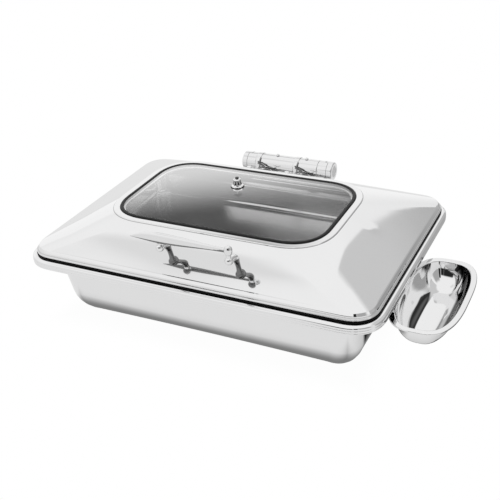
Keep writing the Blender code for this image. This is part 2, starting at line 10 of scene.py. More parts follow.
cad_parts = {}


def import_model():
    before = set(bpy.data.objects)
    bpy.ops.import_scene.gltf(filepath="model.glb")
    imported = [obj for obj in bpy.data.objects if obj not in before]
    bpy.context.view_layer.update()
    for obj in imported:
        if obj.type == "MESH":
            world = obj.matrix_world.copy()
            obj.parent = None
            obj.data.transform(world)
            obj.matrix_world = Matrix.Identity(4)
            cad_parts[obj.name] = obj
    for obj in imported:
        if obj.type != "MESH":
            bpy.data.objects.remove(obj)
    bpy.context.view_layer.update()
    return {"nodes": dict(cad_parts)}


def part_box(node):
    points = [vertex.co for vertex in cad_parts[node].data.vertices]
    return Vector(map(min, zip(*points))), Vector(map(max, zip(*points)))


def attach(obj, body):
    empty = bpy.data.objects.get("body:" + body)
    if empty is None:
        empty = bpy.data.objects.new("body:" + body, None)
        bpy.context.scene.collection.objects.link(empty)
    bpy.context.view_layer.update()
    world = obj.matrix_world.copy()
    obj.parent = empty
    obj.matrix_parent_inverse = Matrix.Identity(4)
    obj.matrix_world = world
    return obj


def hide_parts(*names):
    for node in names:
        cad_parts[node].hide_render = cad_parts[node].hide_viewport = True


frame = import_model()

# Heights and boxes from the frame
PAN_LOW, PAN_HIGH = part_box("water_pan")
LID_LOW, LID_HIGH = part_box("lid_shell")
GASKET_LOW, GASKET_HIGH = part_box("window_gasket")
GLASS_LOW, GLASS_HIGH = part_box("window_glass")
FOOD_LOW, FOOD_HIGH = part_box("food_pan")
BOWL_LOW, BOWL_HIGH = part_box("spoon_bowl")
BARREL_LOW, BARREL_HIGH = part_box("hinge_barrel")
GRIP_LOW, GRIP_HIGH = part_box("handle_grip")
FLANGE_Z, LID_Z, GLASS_Z = PAN_HIGH.z, LID_LOW.z, GLASS_HIGH.z
WINDOW_Y = (GASKET_LOW.y + GASKET_HIGH.y) / 2
HINGE = (BARREL_LOW + BARREL_HIGH) / 2
BARREL_R = (BARREL_HIGH.z - BARREL_LOW.z) / 2
BARREL_HALF = (BARREL_HIGH.x - BARREL_LOW.x) / 2

# Sheet, rings and fillets
SHEET = 0.0015
CORNER_STEPS = 14
SIDE_STEPS = 14
EASE = 2.35
EASE_SIZE = 1.145
FILLET_STEPS = 5
LEAST_RADIUS = 0.004
# Angles past which an edge is drawn sharp, on finished pieces and on CAD meshes
SHARP, CAD_SHARP = 38.0, 30.0


# Shapes

def outline(half_x, half_y, radius, z, centre=(0.0, 0.0)):
    """Points round a rectangle whose corners ease into its sides, so that reflections have no kink."""
    reach = min(EASE_SIZE * max(radius, LEAST_RADIUS), half_x, half_y)
    corners = []
    for quadrant in range(4):
        turn = np.radians(90 * quadrant + np.linspace(0, 90, CORNER_STEPS + 1))
        c, s = np.cos(turn), np.sin(turn)
        c[np.abs(c) < 1e-9] = 0
        s[np.abs(s) < 1e-9] = 0
        across = 1 if quadrant in (0, 3) else -1
        along = 1 if quadrant in (0, 1) else -1
        x = centre[0] + across * (half_x - reach) + reach * np.sign(c) * np.abs(c) ** (2 / EASE)
        y = centre[1] + along * (half_y - reach) + reach * np.sign(s) * np.abs(s) ** (2 / EASE)
        corners.append(np.stack([x, y, np.full_like(x, z)], 1))
    points = []
    for corner, after in zip(corners, corners[1:] + corners[:1]):
        points.append(corner)
        for step in range(1, SIDE_STEPS):
            share = step / SIDE_STEPS
            points.append((corner[-1] * (1 - share) + after[0] * share)[None])
    return np.concatenate(points)


def circle(radius, distance, centre, axis, sides):
    """A ring of points about an axis through the centre."""
    turn = Vector((0, 0, 1)).rotation_difference(Vector(axis)).to_matrix()
    angles = np.linspace(0, 2 * math.pi, sides, endpoint=False)
    local = np.stack([radius * np.cos(angles), radius * np.sin(angles), np.full(sides, distance)], 1)
    return local @ np.array(turn).T + np.array(centre)


def rounded(rows, radii, closed=False, steps=FILLET_STEPS):
    """The rows with each inner one that has a radius replaced by an arc of rows."""
    out = []
    count = len(rows)
    for i, row in enumerate(rows):
        inner = closed or 0 < i < count - 1
        if not radii[i] or not inner:
            out.append(row)
            continue
        before, after = rows[i - 1] - row, rows[(i + 1) % count] - row
        long_before = np.linalg.norm(before, axis=1, keepdims=True)
        long_after = np.linalg.norm(after, axis=1, keepdims=True)
        toward, onward = before / long_before, after / long_after
        turn = np.pi - np.arccos(np.clip((toward * onward).sum(1, keepdims=True), -1, 1))
        reach = radii[i] * np.tan(turn / 2)
        reach = np.minimum(reach, 0.48 * np.minimum(long_before, long_after))
        weight = np.cos(turn / 2)
        start, end = row + toward * reach, row + onward * reach
        for step in range(steps + 1):
            t = step / steps
            shares = ((1 - t) ** 2, 2 * weight * t * (1 - t), t**2)
            out.append((shares[0] * start + shares[1] * row + shares[2] * end) / sum(shares))
    return out


def loft(rows, closed=False):
    """(points, faces) between rows of equal length: capped at both ends, or closed round into a hoop."""
    sides = len(rows[0])
    points = np.concatenate(rows)
    faces = []
    pairs = [(i, i + 1) for i in range(len(rows) - 1)]
    if closed:
        pairs.append((len(rows) - 1, 0))
    else:
        faces.append(tuple(range(sides)))
        faces.append(tuple(range((len(rows) - 1) * sides, len(rows) * sides)))
    for first, second in pairs:
        for i in range(sides):
            j = (i + 1) % sides
            faces.append(
                (first * sides + i, first * sides + j, second * sides + j, second * sides + i)
            )
    return points, faces


def turned(profile, centre, axis=(0, 0, 1), sides=48, closed=False):
    """A turned solid from (radius, distance, fillet) triples."""
    rows = [circle(max(radius, 2e-5), distance, centre, axis, sides) for radius, distance, _ in profile]
    return loft(rounded(rows, [fillet for _, _, fillet in profile], closed), closed)


def smooth_path(points, count):
    """Catmull-Rom points through the given ones."""
    points = [Vector(p) for p in points]
    padded = [2 * points[0] - points[1]] + points + [2 * points[-1] - points[-2]]
    out = []
    for i in range(count + 1):
        place = i / count * (len(points) - 1)
        k = min(int(place), len(points) - 2)
        t = place - k
        a, b, c, d = padded[k : k + 4]
        out.append(
            0.5 * (2 * b + (c - a) * t + (2 * a - 5 * b + 4 * c - d) * t**2 + (3 * b - 3 * c + d - a) * t**3)
        )
    return out


def swept(path, radii, sides=24, flat=1.0):
    """A bar along a path; flat is its thickness over its height."""
    rows = []
    for i, point in enumerate(path):
        before, after = path[max(i - 1, 0)], path[min(i + 1, len(path) - 1)]
        ahead = (after - before).normalized()
        side = Vector((1, 0, 0)) if abs(ahead.x) < 0.7 else Vector((0, 1, 0))
        lift = ahead.cross(side).normalized()
        side = lift.cross(ahead)
        ring = []
        for k in range(sides):
            angle = 2 * math.pi * k / sides
            ring.append(point + radii[i] * (flat * math.cos(angle) * side + math.sin(angle) * lift))
        rows.append(np.array([tuple(p) for p in ring]))
    return loft(rows)


def extruded(outline_yz, x_low, x_high):
    """A flat outline of (y, z) pairs, drawn out along X."""
    rows = [np.array([(x, y, z) for y, z in outline_yz]) for x in (x_low, x_high)]
    return loft(rows)


def piece(name, shape, look, body, replaces=(), bevel=0.0):
    """Makes a finished object from (points, faces) and hangs it on its CAD body."""
    points, faces = shape
    mesh = bpy.data.meshes.new(name)
    mesh.from_pydata([tuple(p) for p in points], [], faces)
    builder = bmesh.new()
    builder.from_mesh(mesh)
    bmesh.ops.remove_doubles(builder, verts=builder.verts, dist=1e-6)
    bmesh.ops.recalc_face_normals(builder, faces=builder.faces)
    builder.to_mesh(mesh)
    builder.free()
    mesh.shade_smooth()
    mesh.set_sharp_from_angle(angle=math.radians(SHARP))
    mesh.materials.append(look)
    obj = bpy.data.objects.new(name, mesh)
    bpy.context.scene.collection.objects.link(obj)
    if bevel:
        round_edges(obj, bevel)
    weighted = obj.modifiers.new("weighted", "WEIGHTED_NORMAL")
    weighted.keep_sharp = True
    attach(obj, body)
    if replaces:
        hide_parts(*replaces)
    return obj


def repaint(obj, look, test):
    """Gives the look to the faces whose centre passes the test."""
    obj.data.materials.append(look)
    for face in obj.data.polygons:
        if test(face.center):
            face.material_index = len(obj.data.materials) - 1


def round_edges(obj, width):
    """Softens the hard edges of an object with a bevel that stays on it."""
    bevel = obj.modifiers.new("bevel", "BEVEL")
    bevel.width = width
    bevel.segments = 3
    bevel.limit_method = "ANGLE"
    bevel.angle_limit = math.radians(40)
    bevel.harden_normals = False


# Materials

class Maths:
    """Small arithmetic on shader sockets."""

    def __init__(self, nodes, links):
        self.nodes, self.links = nodes, links

    def do(self, operation, *values):
        made = self.nodes.new("ShaderNodeMath")
        made.operation = operation
        for slot, value in zip(made.inputs, values):
            if isinstance(value, (int, float)):
                slot.default_value = value
            else:
                self.links.new(value, slot)
        return made.outputs[0]

    def step(self, value, at, soft):
        """0 below the place, 1 above it, eased over twice the softness."""
        made = self.nodes.new("ShaderNodeMapRange")
        made.interpolation_type = "SMOOTHSTEP"
        made.inputs["From Min"].default_value = at - soft
        made.inputs["From Max"].default_value = at + soft
        self.links.new(value, made.inputs["Value"])
        return made.outputs["Result"]

    def between(self, value, low, high, soft):
        return self.do("SUBTRACT", self.step(value, low, soft), self.step(value, high, soft))

    def toward(self, level, share, target):
        """The level, moved to the target by the share."""
        gap = self.do("SUBTRACT", target, level)
        return self.do("MULTIPLY_ADD", share, gap, level)


def start_material(name):
    made = bpy.data.materials.new(name)
    made.use_nodes = True
    nodes, links = made.node_tree.nodes, made.node_tree.links
    return made, nodes, links, nodes["Principled BSDF"]


def coordinates(nodes, links, scale):
    """Object coordinates, stretched; one metre is one unit before the stretch."""
    source = nodes.new("ShaderNodeTexCoord")
    mapping = nodes.new("ShaderNodeMapping")
    mapping.inputs["Scale"].default_value = scale
    links.new(source.outputs["Object"], mapping.inputs["Vector"])
    return mapping.outputs["Vector"]


def noise(nodes, links, vector, scale, detail=2.0):
    made = nodes.new("ShaderNodeTexNoise")
    made.inputs["Scale"].default_value = scale
    made.inputs["Detail"].default_value = detail
    links.new(vector, made.inputs["Vector"])
    return made.outputs["Fac"]


def ranged(nodes, links, value, low, high, from_low=0.3, from_high=0.7):
    made = nodes.new("ShaderNodeMapRange")
    made.inputs["From Min"].default_value = from_low
    made.inputs["From Max"].default_value = from_high
    made.inputs["To Min"].default_value = low
    made.inputs["To Max"].default_value = high
    links.new(value, made.inputs["Value"])
    return made.outputs["Result"]


def bumped(nodes, links, shader, height, strength, distance):
    made = nodes.new("ShaderNodeBump")
    made.inputs["Strength"].default_value = strength
    made.inputs["Distance"].default_value = distance
    links.new(height, made.inputs["Height"])
    links.new(made.outputs["Normal"], shader.inputs["Normal"])


def polished_steel(name, tone=0.88, rough=0.035, ripple=0.0002, edge=1.0):
    """Mirror-polished steel with faint ripples and buffing marks; edge is its tone at a grazing view, so an
    edge below 1 paints shade on its rims.
    """
    made, nodes, links, shader = start_material(name)
    shader.inputs["Metallic"].default_value = 1.0
    place = coordinates(nodes, links, (1, 1, 1))
    long_marks = noise(nodes, links, coordinates(nodes, links, (3, 40, 40)), 22.0, 3.0)
    cloud = noise(nodes, links, place, 9.0)
    tint = nodes.new("ShaderNodeValToRGB")
    tint.color_ramp.elements[0].color = (tone * 0.97, tone * 0.97, tone * 0.975, 1)
    tint.color_ramp.elements[1].color = (tone, tone, tone, 1)
    links.new(cloud, tint.inputs["Fac"])
    # Painted rim shade: the colour fades to tone times edge at grazing views
    facing = nodes.new("ShaderNodeLayerWeight")
    facing.inputs["Blend"].default_value = 0.5
    fade = nodes.new("ShaderNodeMix")
    fade.data_type = "RGBA"
    fade.inputs[7].default_value = (tone * edge, tone * edge, tone * edge, 1)
    links.new(ranged(nodes, links, facing.outputs["Facing"], 0.0, 1.0, 0.62, 0.97), fade.inputs[0])
    links.new(tint.outputs["Color"], fade.inputs[6])
    links.new(fade.outputs[2], shader.inputs["Base Color"])
    links.new(ranged(nodes, links, long_marks, rough, rough * 1.7), shader.inputs["Roughness"])
    bumped(nodes, links, shader, noise(nodes, links, place, 16.0, 1.0), 0.5, ripple)
    return made


# Dark flags painted into the spoon bowl's colour as painted reflections, in rows like those of CARDS: over
# its far side and over its near side
FAR_PAINTED_FLAGS = [
    (-150, 100, -90, 8, 8, 5, 0.03),
]
NEAR_PAINTED_FLAGS = [
    (9, 36, 18, 37, 1.5, 2, 0.04),
    (17, 26, 24, 34, 3, 3, 0.16),
    (-75, -30, 32, 40, 3, 2, 0.03),
]


def bowl_steel_painted_reflections(name):
    """The polished steel of the spoon bowl, darkened by reflection direction with painted reflections of dark
    flags.
    """
    made = polished_steel(name)
    nodes, links = made.node_tree.nodes, made.node_tree.links
    m = Maths(nodes, links)
    source = nodes.new("ShaderNodeTexCoord")
    azimuth, elevation = directions(nodes, links, source.outputs["Reflection"])
    split = nodes.new("ShaderNodeSeparateXYZ")
    links.new(source.outputs["Object"], split.inputs[0])
    inside = nodes.new("ShaderNodeSeparateXYZ")
    links.new(source.outputs["Normal"], inside.inputs[0])
    far = m.step(split.outputs[0], (BOWL_LOW.x + BOWL_HIGH.x) / 2 + 0.010, 0.008)
    far = m.do("MULTIPLY", far, m.step(inside.outputs[2], 0.0, 0.05))
    shader = nodes["Principled BSDF"]
    plain = shader.inputs["Base Color"].links[0].from_socket
    over_near, over_far = (cards(m, azimuth, elevation, 1.0, flags) for flags in (NEAR_PAINTED_FLAGS, FAR_PAINTED_FLAGS))
    level = m.toward(over_near, far, over_far)
    # Painted reflection: the colour darkens toward black where a flag would be mirrored
    painted_reflection_mix = nodes.new("ShaderNodeMix")
    painted_reflection_mix.data_type = "RGBA"
    painted_reflection_mix.inputs[6].default_value = (0, 0, 0, 1)
    links.new(level, painted_reflection_mix.inputs[0])
    links.new(plain, painted_reflection_mix.inputs[7])
    links.new(painted_reflection_mix.outputs[2], shader.inputs["Base Color"])
    return made


def directions(nodes, links, vector):
    """(azimuth from +Y towards +X, elevation) of a direction, in degrees."""
    m = Maths(nodes, links)
    split = nodes.new("ShaderNodeSeparateXYZ")
    links.new(vector, split.inputs[0])
    x, y, z = split.outputs
    return m.do("DEGREES", m.do("ARCTAN2", x, y)), m.do("DEGREES", m.do("ARCSINE", z))


def cards(m, azimuth, elevation, level, table):
    """The level seen in a direction, past each soft-edged card of the table."""
    for low_a, high_a, low_e, high_e, soft_a, soft_e, target in table:
        share = m.do(
            "MULTIPLY", m.between(azimuth, low_a, high_a, soft_a), m.between(elevation, low_e, high_e, soft_e)
        )
        level = m.toward(level, share, target)
    return level


def satin_steel(name, tone=0.62, rough=0.24, along=(2, 60, 60), mark=0.86, grain=0.12):
    """Brushed sheet: fine straight lines in its gloss and colour; mark is the tone of the darker ones."""
    made, nodes, links, shader = start_material(name)
    shader.inputs["Metallic"].default_value = 1.0
    lines = noise(nodes, links, coordinates(nodes, links, along), 30.0, 4.0)
    tint = nodes.new("ShaderNodeValToRGB")
    tint.color_ramp.elements[0].color = (tone * mark, tone * mark, tone * mark, 1)
    tint.color_ramp.elements[1].color = (tone, tone, tone, 1)
    links.new(lines, tint.inputs["Fac"])
    links.new(tint.outputs["Color"], shader.inputs["Base Color"])
    links.new(ranged(nodes, links, lines, rough * 0.8, rough * 1.3), shader.inputs["Roughness"])
    bumped(nodes, links, shader, lines, grain, 0.00003)
    return made


def dark_steel(name):
    made, nodes, links, shader = start_material(name)
    shader.inputs["Metallic"].default_value = 1.0
    grain = noise(nodes, links, coordinates(nodes, links, (1, 1, 1)), 900.0, 3.0)
    tint = nodes.new("ShaderNodeValToRGB")
    tint.color_ramp.elements[0].color = (0.05, 0.05, 0.05, 1)
    tint.color_ramp.elements[1].color = (0.16, 0.16, 0.16, 1)
    links.new(grain, tint.inputs["Fac"])
    links.new(tint.outputs["Color"], shader.inputs["Base Color"])
    links.new(ranged(nodes, links, grain, 0.25, 0.42), shader.inputs["Roughness"])
    return made


def black_silicone(name, tone, gloss):
    made, nodes, links, shader = start_material(name)
    grain = noise(nodes, links, coordinates(nodes, links, (1, 1, 1)), 700.0, 3.0)
    tint = nodes.new("ShaderNodeValToRGB")
    tint.color_ramp.elements[0].color = (tone * 0.6, tone * 0.6, tone * 0.6, 1)
    tint.color_ramp.elements[1].color = (tone, tone, tone, 1)
    links.new(grain, tint.inputs["Fac"])
    links.new(tint.outputs["Color"], shader.inputs["Base Color"])
    links.new(ranged(nodes, links, grain, 0.36, 0.5), shader.inputs["Roughness"])
    shader.inputs["Specular IOR Level"].default_value = gloss
    bumped(nodes, links, shader, grain, 0.2, 0.00003)
    return made


# Painted glare: a glow on the glass standing in for the reflection of a tall softbox behind; its strength,
# (place, softness) by view steepness, and (low, high, softness) by heading
PAINTED_GLOW_STRENGTH = 0.55
PAINTED_GLOW_RISE = (0.424, 0.026)
PAINTED_GLOW_HEADING = (5, 50, 12)


def window_glass_look(name, tint=(0.95, 0.95, 0.95)):
    """Thin clear glass: light passes straight through and the Fresnel share of it reflects; a painted glare
    glows on its outer side.
    """
    made, nodes, links, shader = start_material(name)
    output = nodes["Material Output"]
    nodes.remove(shader)
    clear = nodes.new("ShaderNodeBsdfTransparent")
    clear.inputs["Color"].default_value = (*tint, 1)
    gloss = nodes.new("ShaderNodeBsdfGlossy")
    smear = noise(nodes, links, coordinates(nodes, links, (1, 6, 6)), 14.0, 2.0)
    links.new(ranged(nodes, links, smear, 0.0, 0.03), gloss.inputs["Roughness"])
    fresnel = nodes.new("ShaderNodeFresnel")
    fresnel.inputs["IOR"].default_value = 1.52
    side = nodes.new("ShaderNodeNewGeometry")
    outer = nodes.new("ShaderNodeMath")
    outer.operation = "SUBTRACT"
    outer.inputs[0].default_value = 1.0
    links.new(side.outputs["Backfacing"], outer.inputs[1])
    share = nodes.new("ShaderNodeMath")
    share.operation = "MULTIPLY"
    links.new(fresnel.outputs["Fac"], share.inputs[0])
    links.new(outer.outputs[0], share.inputs[1])
    mix = nodes.new("ShaderNodeMixShader")
    links.new(share.outputs[0], mix.inputs[0])
    links.new(clear.outputs["BSDF"], mix.inputs[1])
    links.new(gloss.outputs["BSDF"], mix.inputs[2])
    # Painted glare, glowing by view direction
    painted_glow = nodes.new("ShaderNodeEmission")
    m = Maths(nodes, links)
    split = nodes.new("ShaderNodeSeparateXYZ")
    links.new(side.outputs["Incoming"], split.inputs[0])
    x, y, z = split.outputs
    heading = m.do("DEGREES", m.do("ARCTAN2", x, m.do("MULTIPLY", y, -1.0)))
    low = m.do("SUBTRACT", 1.0, m.step(z, *PAINTED_GLOW_RISE))
    lit = m.do("MULTIPLY", low, m.between(heading, *PAINTED_GLOW_HEADING))
    links.new(m.do("MULTIPLY", m.do("MULTIPLY", lit, outer.outputs[0]), PAINTED_GLOW_STRENGTH), painted_glow.inputs["Strength"])
    both = nodes.new("ShaderNodeAddShader")
    links.new(mix.outputs["Shader"], both.inputs[0])
    links.new(painted_glow.outputs["Emission"], both.inputs[1])
    links.new(both.outputs["Shader"], output.inputs["Surface"])
    return made


LOOKS = {
    "steel": polished_steel("polished_steel"),
    "bowl": bowl_steel_painted_reflections("bowl_steel_painted_reflections"),
    "small": polished_steel("polished_fittings", 0.86, 0.05, 0.00005, 0.7),
    # Polished steel with strong painted shade on its rims
    "cast": polished_steel("cast_steel_painted_rim_shade", 0.88, 0.04, 0.0001, 0.12),
    "satin": satin_steel("satin_steel"),
    "food": satin_steel("pan_steel", 0.78, 0.09, (0.8, 60, 60), 0.97, 0.01),
    "tray": satin_steel("pan_floor_steel", 0.72, 0.20, (0.8, 60, 60), 0.97, 0.05),
    "groove": polished_steel("groove_painted_shade_steel", 0.62, 0.12, 0.00005),
    "dark": dark_steel("dark_steel"),
    # Polished steel darkened all over: painted shade
    "shadow": polished_steel("painted_shade_steel", 0.20, 0.12, 0.00005, 0.3),
    "rubber": black_silicone("black_silicone", 0.004, 0.08),
    "gasket": black_silicone("gasket_silicone", 0.014, 0.25),
    "glass": window_glass_look("window_glass"),
}


# Water pan

WELL_X, WELL_Y, WELL_R = 0.2655, 0.1750, 0.049
WELL_DRAFT, WELL_FLOOR_R = 0.175, 0.051
FLANGE_R = 0.047
FLANGE_DROP = 0.013
SEAL_OUT, SEAL_WIDTH, SEAL_R = 0.0014, 0.006, 0.038
SUPPORT_SHEET, SUPPORT_R = 0.0012, 0.040
SUPPORT_OPEN_X, SUPPORT_OPEN_Y, SUPPORT_OPEN_R = 0.2575, 0.155, 0.030
PLATE_R = 0.030
# Height of the row in a well's wall below its top, as a share of the wall
WALL_ROW = 0.15
# How far in from a part's outer edge a groove is looked for
EDGE_REACH = 0.012


def rect_rows(half_x, half_y, radius, section, centre=(0.0, 0.0)):
    """(rows, fillets) of (inset, z, fillet) triples; the corners stay concentric."""
    rows = [
        outline(half_x - inset, half_y - inset, radius - inset, z, centre) for inset, z, _ in section
    ]
    return rows, [fillet for _, _, fillet in section]


def well_rows(half_x, half_y, radius, top, floor, draft, floor_radius, sheet):
    """Rows from the middle of a floor up its wall; sheet is added outside for the underside."""
    low = floor - sheet
    inset = draft * (top - low) - sheet
    section = [(half_x * 0.9, low, 0), (half_x * 0.45, low, 0), (inset, low, floor_radius)]
    section.append((draft * (top - low) * WALL_ROW - sheet, top * (1 - WALL_ROW) + low * WALL_ROW, 0))
    section.append((-sheet, top, 0))
    rows, fillets = [], []
    for step, z, fillet in section:
        hx, hy = half_x - step, max(half_y - step, 0.01)
        rows.append(outline(hx, hy, max(radius - step, 0.01), z))
        fillets.append(fillet)
    return rows, fillets


def water_pan():
    floor = PAN_LOW.z + SHEET
    inside, inside_fillets = well_rows(
        WELL_X - SHEET, WELL_Y - SHEET, WELL_R - SHEET, FLANGE_Z, floor, WELL_DRAFT, WELL_FLOOR_R - SHEET, 0
    )
    inside_fillets[-1] = 0.004
    flange = [(0.0130, FLANGE_Z, 0.008), (0.0042, FLANGE_Z - 0.0006, 0.005)]
    flange += [(0.0004, FLANGE_Z - 0.0030, 0.004)]
    flange += [(0.0, FLANGE_Z - 0.0062, 0.0006), (0.0005, FLANGE_Z - 0.0068, 0.0004)]
    flange += [(0.0, FLANGE_Z - 0.0074, 0.0008), (0.0, FLANGE_Z - 0.0102, 0.0008)]
    flange += [(0.0006, FLANGE_Z - 0.0108, 0.0004), (0.0002, FLANGE_Z - 0.0113, 0.0004)]
    flange += [(0.0002, FLANGE_Z - FLANGE_DROP, 0.0005), (0.0016, FLANGE_Z - FLANGE_DROP, 0.0005)]
    flange += [(0.0016, FLANGE_Z - 0.0062, 0.002), (0.0062, FLANGE_Z - SHEET, 0.003)]
    brim, brim_fillets = rect_rows(PAN_HIGH.x, PAN_HIGH.y, FLANGE_R, flange)
    outside, outside_fillets = well_rows(
        WELL_X, WELL_Y, WELL_R, FLANGE_Z - SHEET, PAN_LOW.z, WELL_DRAFT, WELL_FLOOR_R, 0
    )
    outside_fillets[-1] = 0.003
    rows = inside + brim + outside[::-1]
    fillets = inside_fillets + brim_fillets + outside_fillets[::-1]
    shape = loft(rounded(rows, fillets, steps=7))
    piece("water_pan_body", shape, LOOKS["steel"], "base", ("water_pan",))


def at_edge(at, corner, low, high):
    """Whether a point lies between two heights near the outer edge of a part."""
    near = abs(at.x) > corner.x - EDGE_REACH or abs(at.y) > corner.y - EDGE_REACH
    return near and low < at.z < high


def pan_support():
    low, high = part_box("pan_support_frame")
    top, sheet = high.z, SUPPORT_SHEET
    rows, fillets = rect_rows(high.x, high.y, SUPPORT_R, [(0, top - sheet, 0.0004), (0, top, 0.0005)])
    inner = [(0.0, top, 0.0015), (0.0, low.z, 0.0004), (-sheet, low.z, 0.0004), (-sheet, top - sheet, 0.001)]
    more, more_fillets = rect_rows(SUPPORT_OPEN_X, SUPPORT_OPEN_Y, SUPPORT_OPEN_R, inner)
    shape = loft(rounded(rows + more, fillets + more_fillets, True), True)
    piece("support_frame", shape, LOOKS["steel"], "base", ("pan_support_frame",))


def rim_seal():
    low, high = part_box("rim_seal")
    width = SEAL_OUT + SEAL_WIDTH
    section = [(0, low.z, 0.0006), (0.0, high.z, 0.0006), (width, high.z, 0.0006), (width, low.z, 0.0006)]
    rows, fillets = rect_rows(high.x + SEAL_OUT, high.y + SEAL_OUT, SEAL_R + SEAL_OUT, section)
    shape = loft(rounded(rows, fillets, True, 3), True)
    piece("lid_seal", shape, LOOKS["rubber"], "base", ("rim_seal",))


def induction_plate():
    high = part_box("induction_base")[1]
    section = [(0.02, 0.0, 0), (0.0, 0.0, 0.0012), (0.0, high.z, 0.0004), (0.02, high.z, 0)]
    rows, fillets = rect_rows(high.x, high.y, PLATE_R, section)
    shape = loft(rounded(rows, fillets))
    piece("induction_plate", shape, LOOKS["satin"], "base", ("induction_base",))


# Food pan

FOOD_R, FOOD_SHEET = 0.036, 0.001
FOOD_WELL_INSET, FOOD_DRAFT, FOOD_FLOOR_R = 0.0125, 0.09, 0.010
# Height above its floor up to which the food pan has the duller look
TRAY_RISE = 0.0006


def food_pan():
    top = FOOD_HIGH.z
    half_x, half_y = FOOD_HIGH.x - FOOD_WELL_INSET, FOOD_HIGH.y - FOOD_WELL_INSET
    radius = FOOD_R - FOOD_WELL_INSET + 0.006
    inner_x, inner_y, inner_floor = half_x - FOOD_SHEET, half_y - FOOD_SHEET, FOOD_LOW.z + FOOD_SHEET
    inside, inside_fillets = well_rows(
        inner_x, inner_y, radius, top, inner_floor, FOOD_DRAFT, FOOD_FLOOR_R, 0
    )
    inside_fillets[-1] = 0.003
    rim = [(0.0, top, 0.0004), (0.0, top - FOOD_SHEET, 0.0004)]
    brim, brim_fillets = rect_rows(FOOD_HIGH.x, FOOD_HIGH.y, FOOD_R, rim)
    under = top - FOOD_SHEET
    outside, outside_fillets = well_rows(
        half_x, half_y, radius, under, FOOD_LOW.z, FOOD_DRAFT, FOOD_FLOOR_R, 0
    )
    outside_fillets[-1] = 0.002
    rows = inside + brim + outside[::-1]
    fillets = inside_fillets + brim_fillets + outside_fillets[::-1]
    shape = loft(rounded(rows, fillets, steps=6))
    pan = piece("food_pan_body", shape, LOOKS["food"], "food_pan", ("food_pan",))
    repaint(pan, LOOKS["tray"], lambda at: at.z < inner_floor + TRAY_RISE)


# Lid

FOOT_R, TRIM_R = 0.039, 0.0668
TRIM_WIDTH = 0.0115
FACE_FOOT_INSET, FACE_FOOT_RISE = 0.0072, 0.0107
FACE_ROWS = 10
FRONT_BULGE, FRONT_BULGE_HALF = 0.0032, 0.235
GASKET_R = 0.0553
# The lid's face ends this far below the glass
FACE_DROP = 0.0016
# Grooves of the lid, painted darker as shade: (low, high) above the foot line, and (low, high) below the
# glass
FOOT_GROOVE, TRIM_GROOVE = (0.0036, 0.0045), (0.0022, 0.0012)


def lid_face_row(share, inset=0.0, drop=0.0):
    """A ring on the lid's sloping faces: share 0 at the foot line, 1 at the trim."""
    trim_x, trim_y = GASKET_HIGH.x + TRIM_WIDTH, (GASKET_HIGH.y - GASKET_LOW.y) / 2 + TRIM_WIDTH
    half_x = (LID_HIGH.x - FACE_FOOT_INSET) * (1 - share) + trim_x * share - inset
    half_y = (LID_HIGH.y - FACE_FOOT_INSET) * (1 - share) + trim_y * share - inset
    radius = (FOOT_R - 0.004) * (1 - share) + TRIM_R * share - inset
    z = (LID_Z + FACE_FOOT_RISE) * (1 - share) + (GLASS_Z - FACE_DROP) * share - drop
    ring = outline(half_x, half_y, radius, z, (0.0, WINDOW_Y * share))
    ring[:, 2] += front_bulge(ring[:, 0], ring[:, 1], share)
    return ring


def front_bulge(x, y, share):
    """How far the pressed front face swells above a flat one."""
    fade = np.clip(1 - (np.abs(x) / FRONT_BULGE_HALF) ** 3, 0, 1)
    return FRONT_BULGE * np.sin(math.pi * share) * fade * (y < 0)


def lid():
    foot = [(0.0030, LID_Z, 0.0004), (0.0004, LID_Z, 0.0010), (0.0, LID_Z + 0.0030, 0.0012)]
    foot += [(0.0018, LID_Z + 0.0040, 0.0004), (0.0026, LID_Z + 0.0040, 0.0005)]
    foot += [(0.0032, LID_Z + 0.0062, 0.0022), (0.0058, LID_Z + 0.0098, 0.0016)]
    rows, fillets = rect_rows(LID_HIGH.x, LID_HIGH.y, FOOT_R, foot)
    shares = [i / FACE_ROWS for i in range(FACE_ROWS + 1)]
    rows += [lid_face_row(share) for share in shares]
    fillets += [0.0010] + [0] * (FACE_ROWS - 1) + [0.0006]
    open_x, open_y = GASKET_HIGH.x + 0.0002, (GASKET_HIGH.y - GASKET_LOW.y) / 2 + 0.0002
    trim = [(-TRIM_WIDTH + 0.0009, GLASS_Z - 0.0021, 0.0003), (-TRIM_WIDTH + 0.0011, GLASS_Z, 0.0011)]
    trim += [(0.0, GLASS_Z, 0.0010), (0.0, GLASS_Z - 0.008, 0.0003), (-SHEET, GLASS_Z - 0.008, 0.0003)]
    trim += [(-SHEET, GLASS_Z - 0.003, 0.001)]
    more, more_fillets = rect_rows(open_x, open_y, GASKET_R, trim, (0.0, WINDOW_Y))
    rows += more
    fillets += more_fillets
    rows += [lid_face_row(share, SHEET, 1.4 * SHEET) for share in reversed(shares[:-1])]
    fillets += [0.004] + [0] * (FACE_ROWS - 1)
    back, back_fillets = rect_rows(LID_HIGH.x, LID_HIGH.y, FOOT_R, [(0.0046, LID_Z + 0.004, 0.002)])
    rows += back
    fillets += back_fillets
    shape = loft(rounded(rows, fillets, True), True)
    shell = piece("lid_body", shape, LOOKS["steel"], "lid", ("lid_shell",))
    foot_low, foot_high = (LID_Z + rise for rise in FOOT_GROOVE)
    trim_low, trim_high = (GLASS_Z - drop for drop in TRIM_GROOVE)
    # The grooves take the darker steel: painted shade
    repaint(shell, LOOKS["groove"], lambda at: at_edge(at, LID_HIGH, foot_low, foot_high))
    repaint(shell, LOOKS["groove"], lambda at: trim_low < at.z < trim_high)


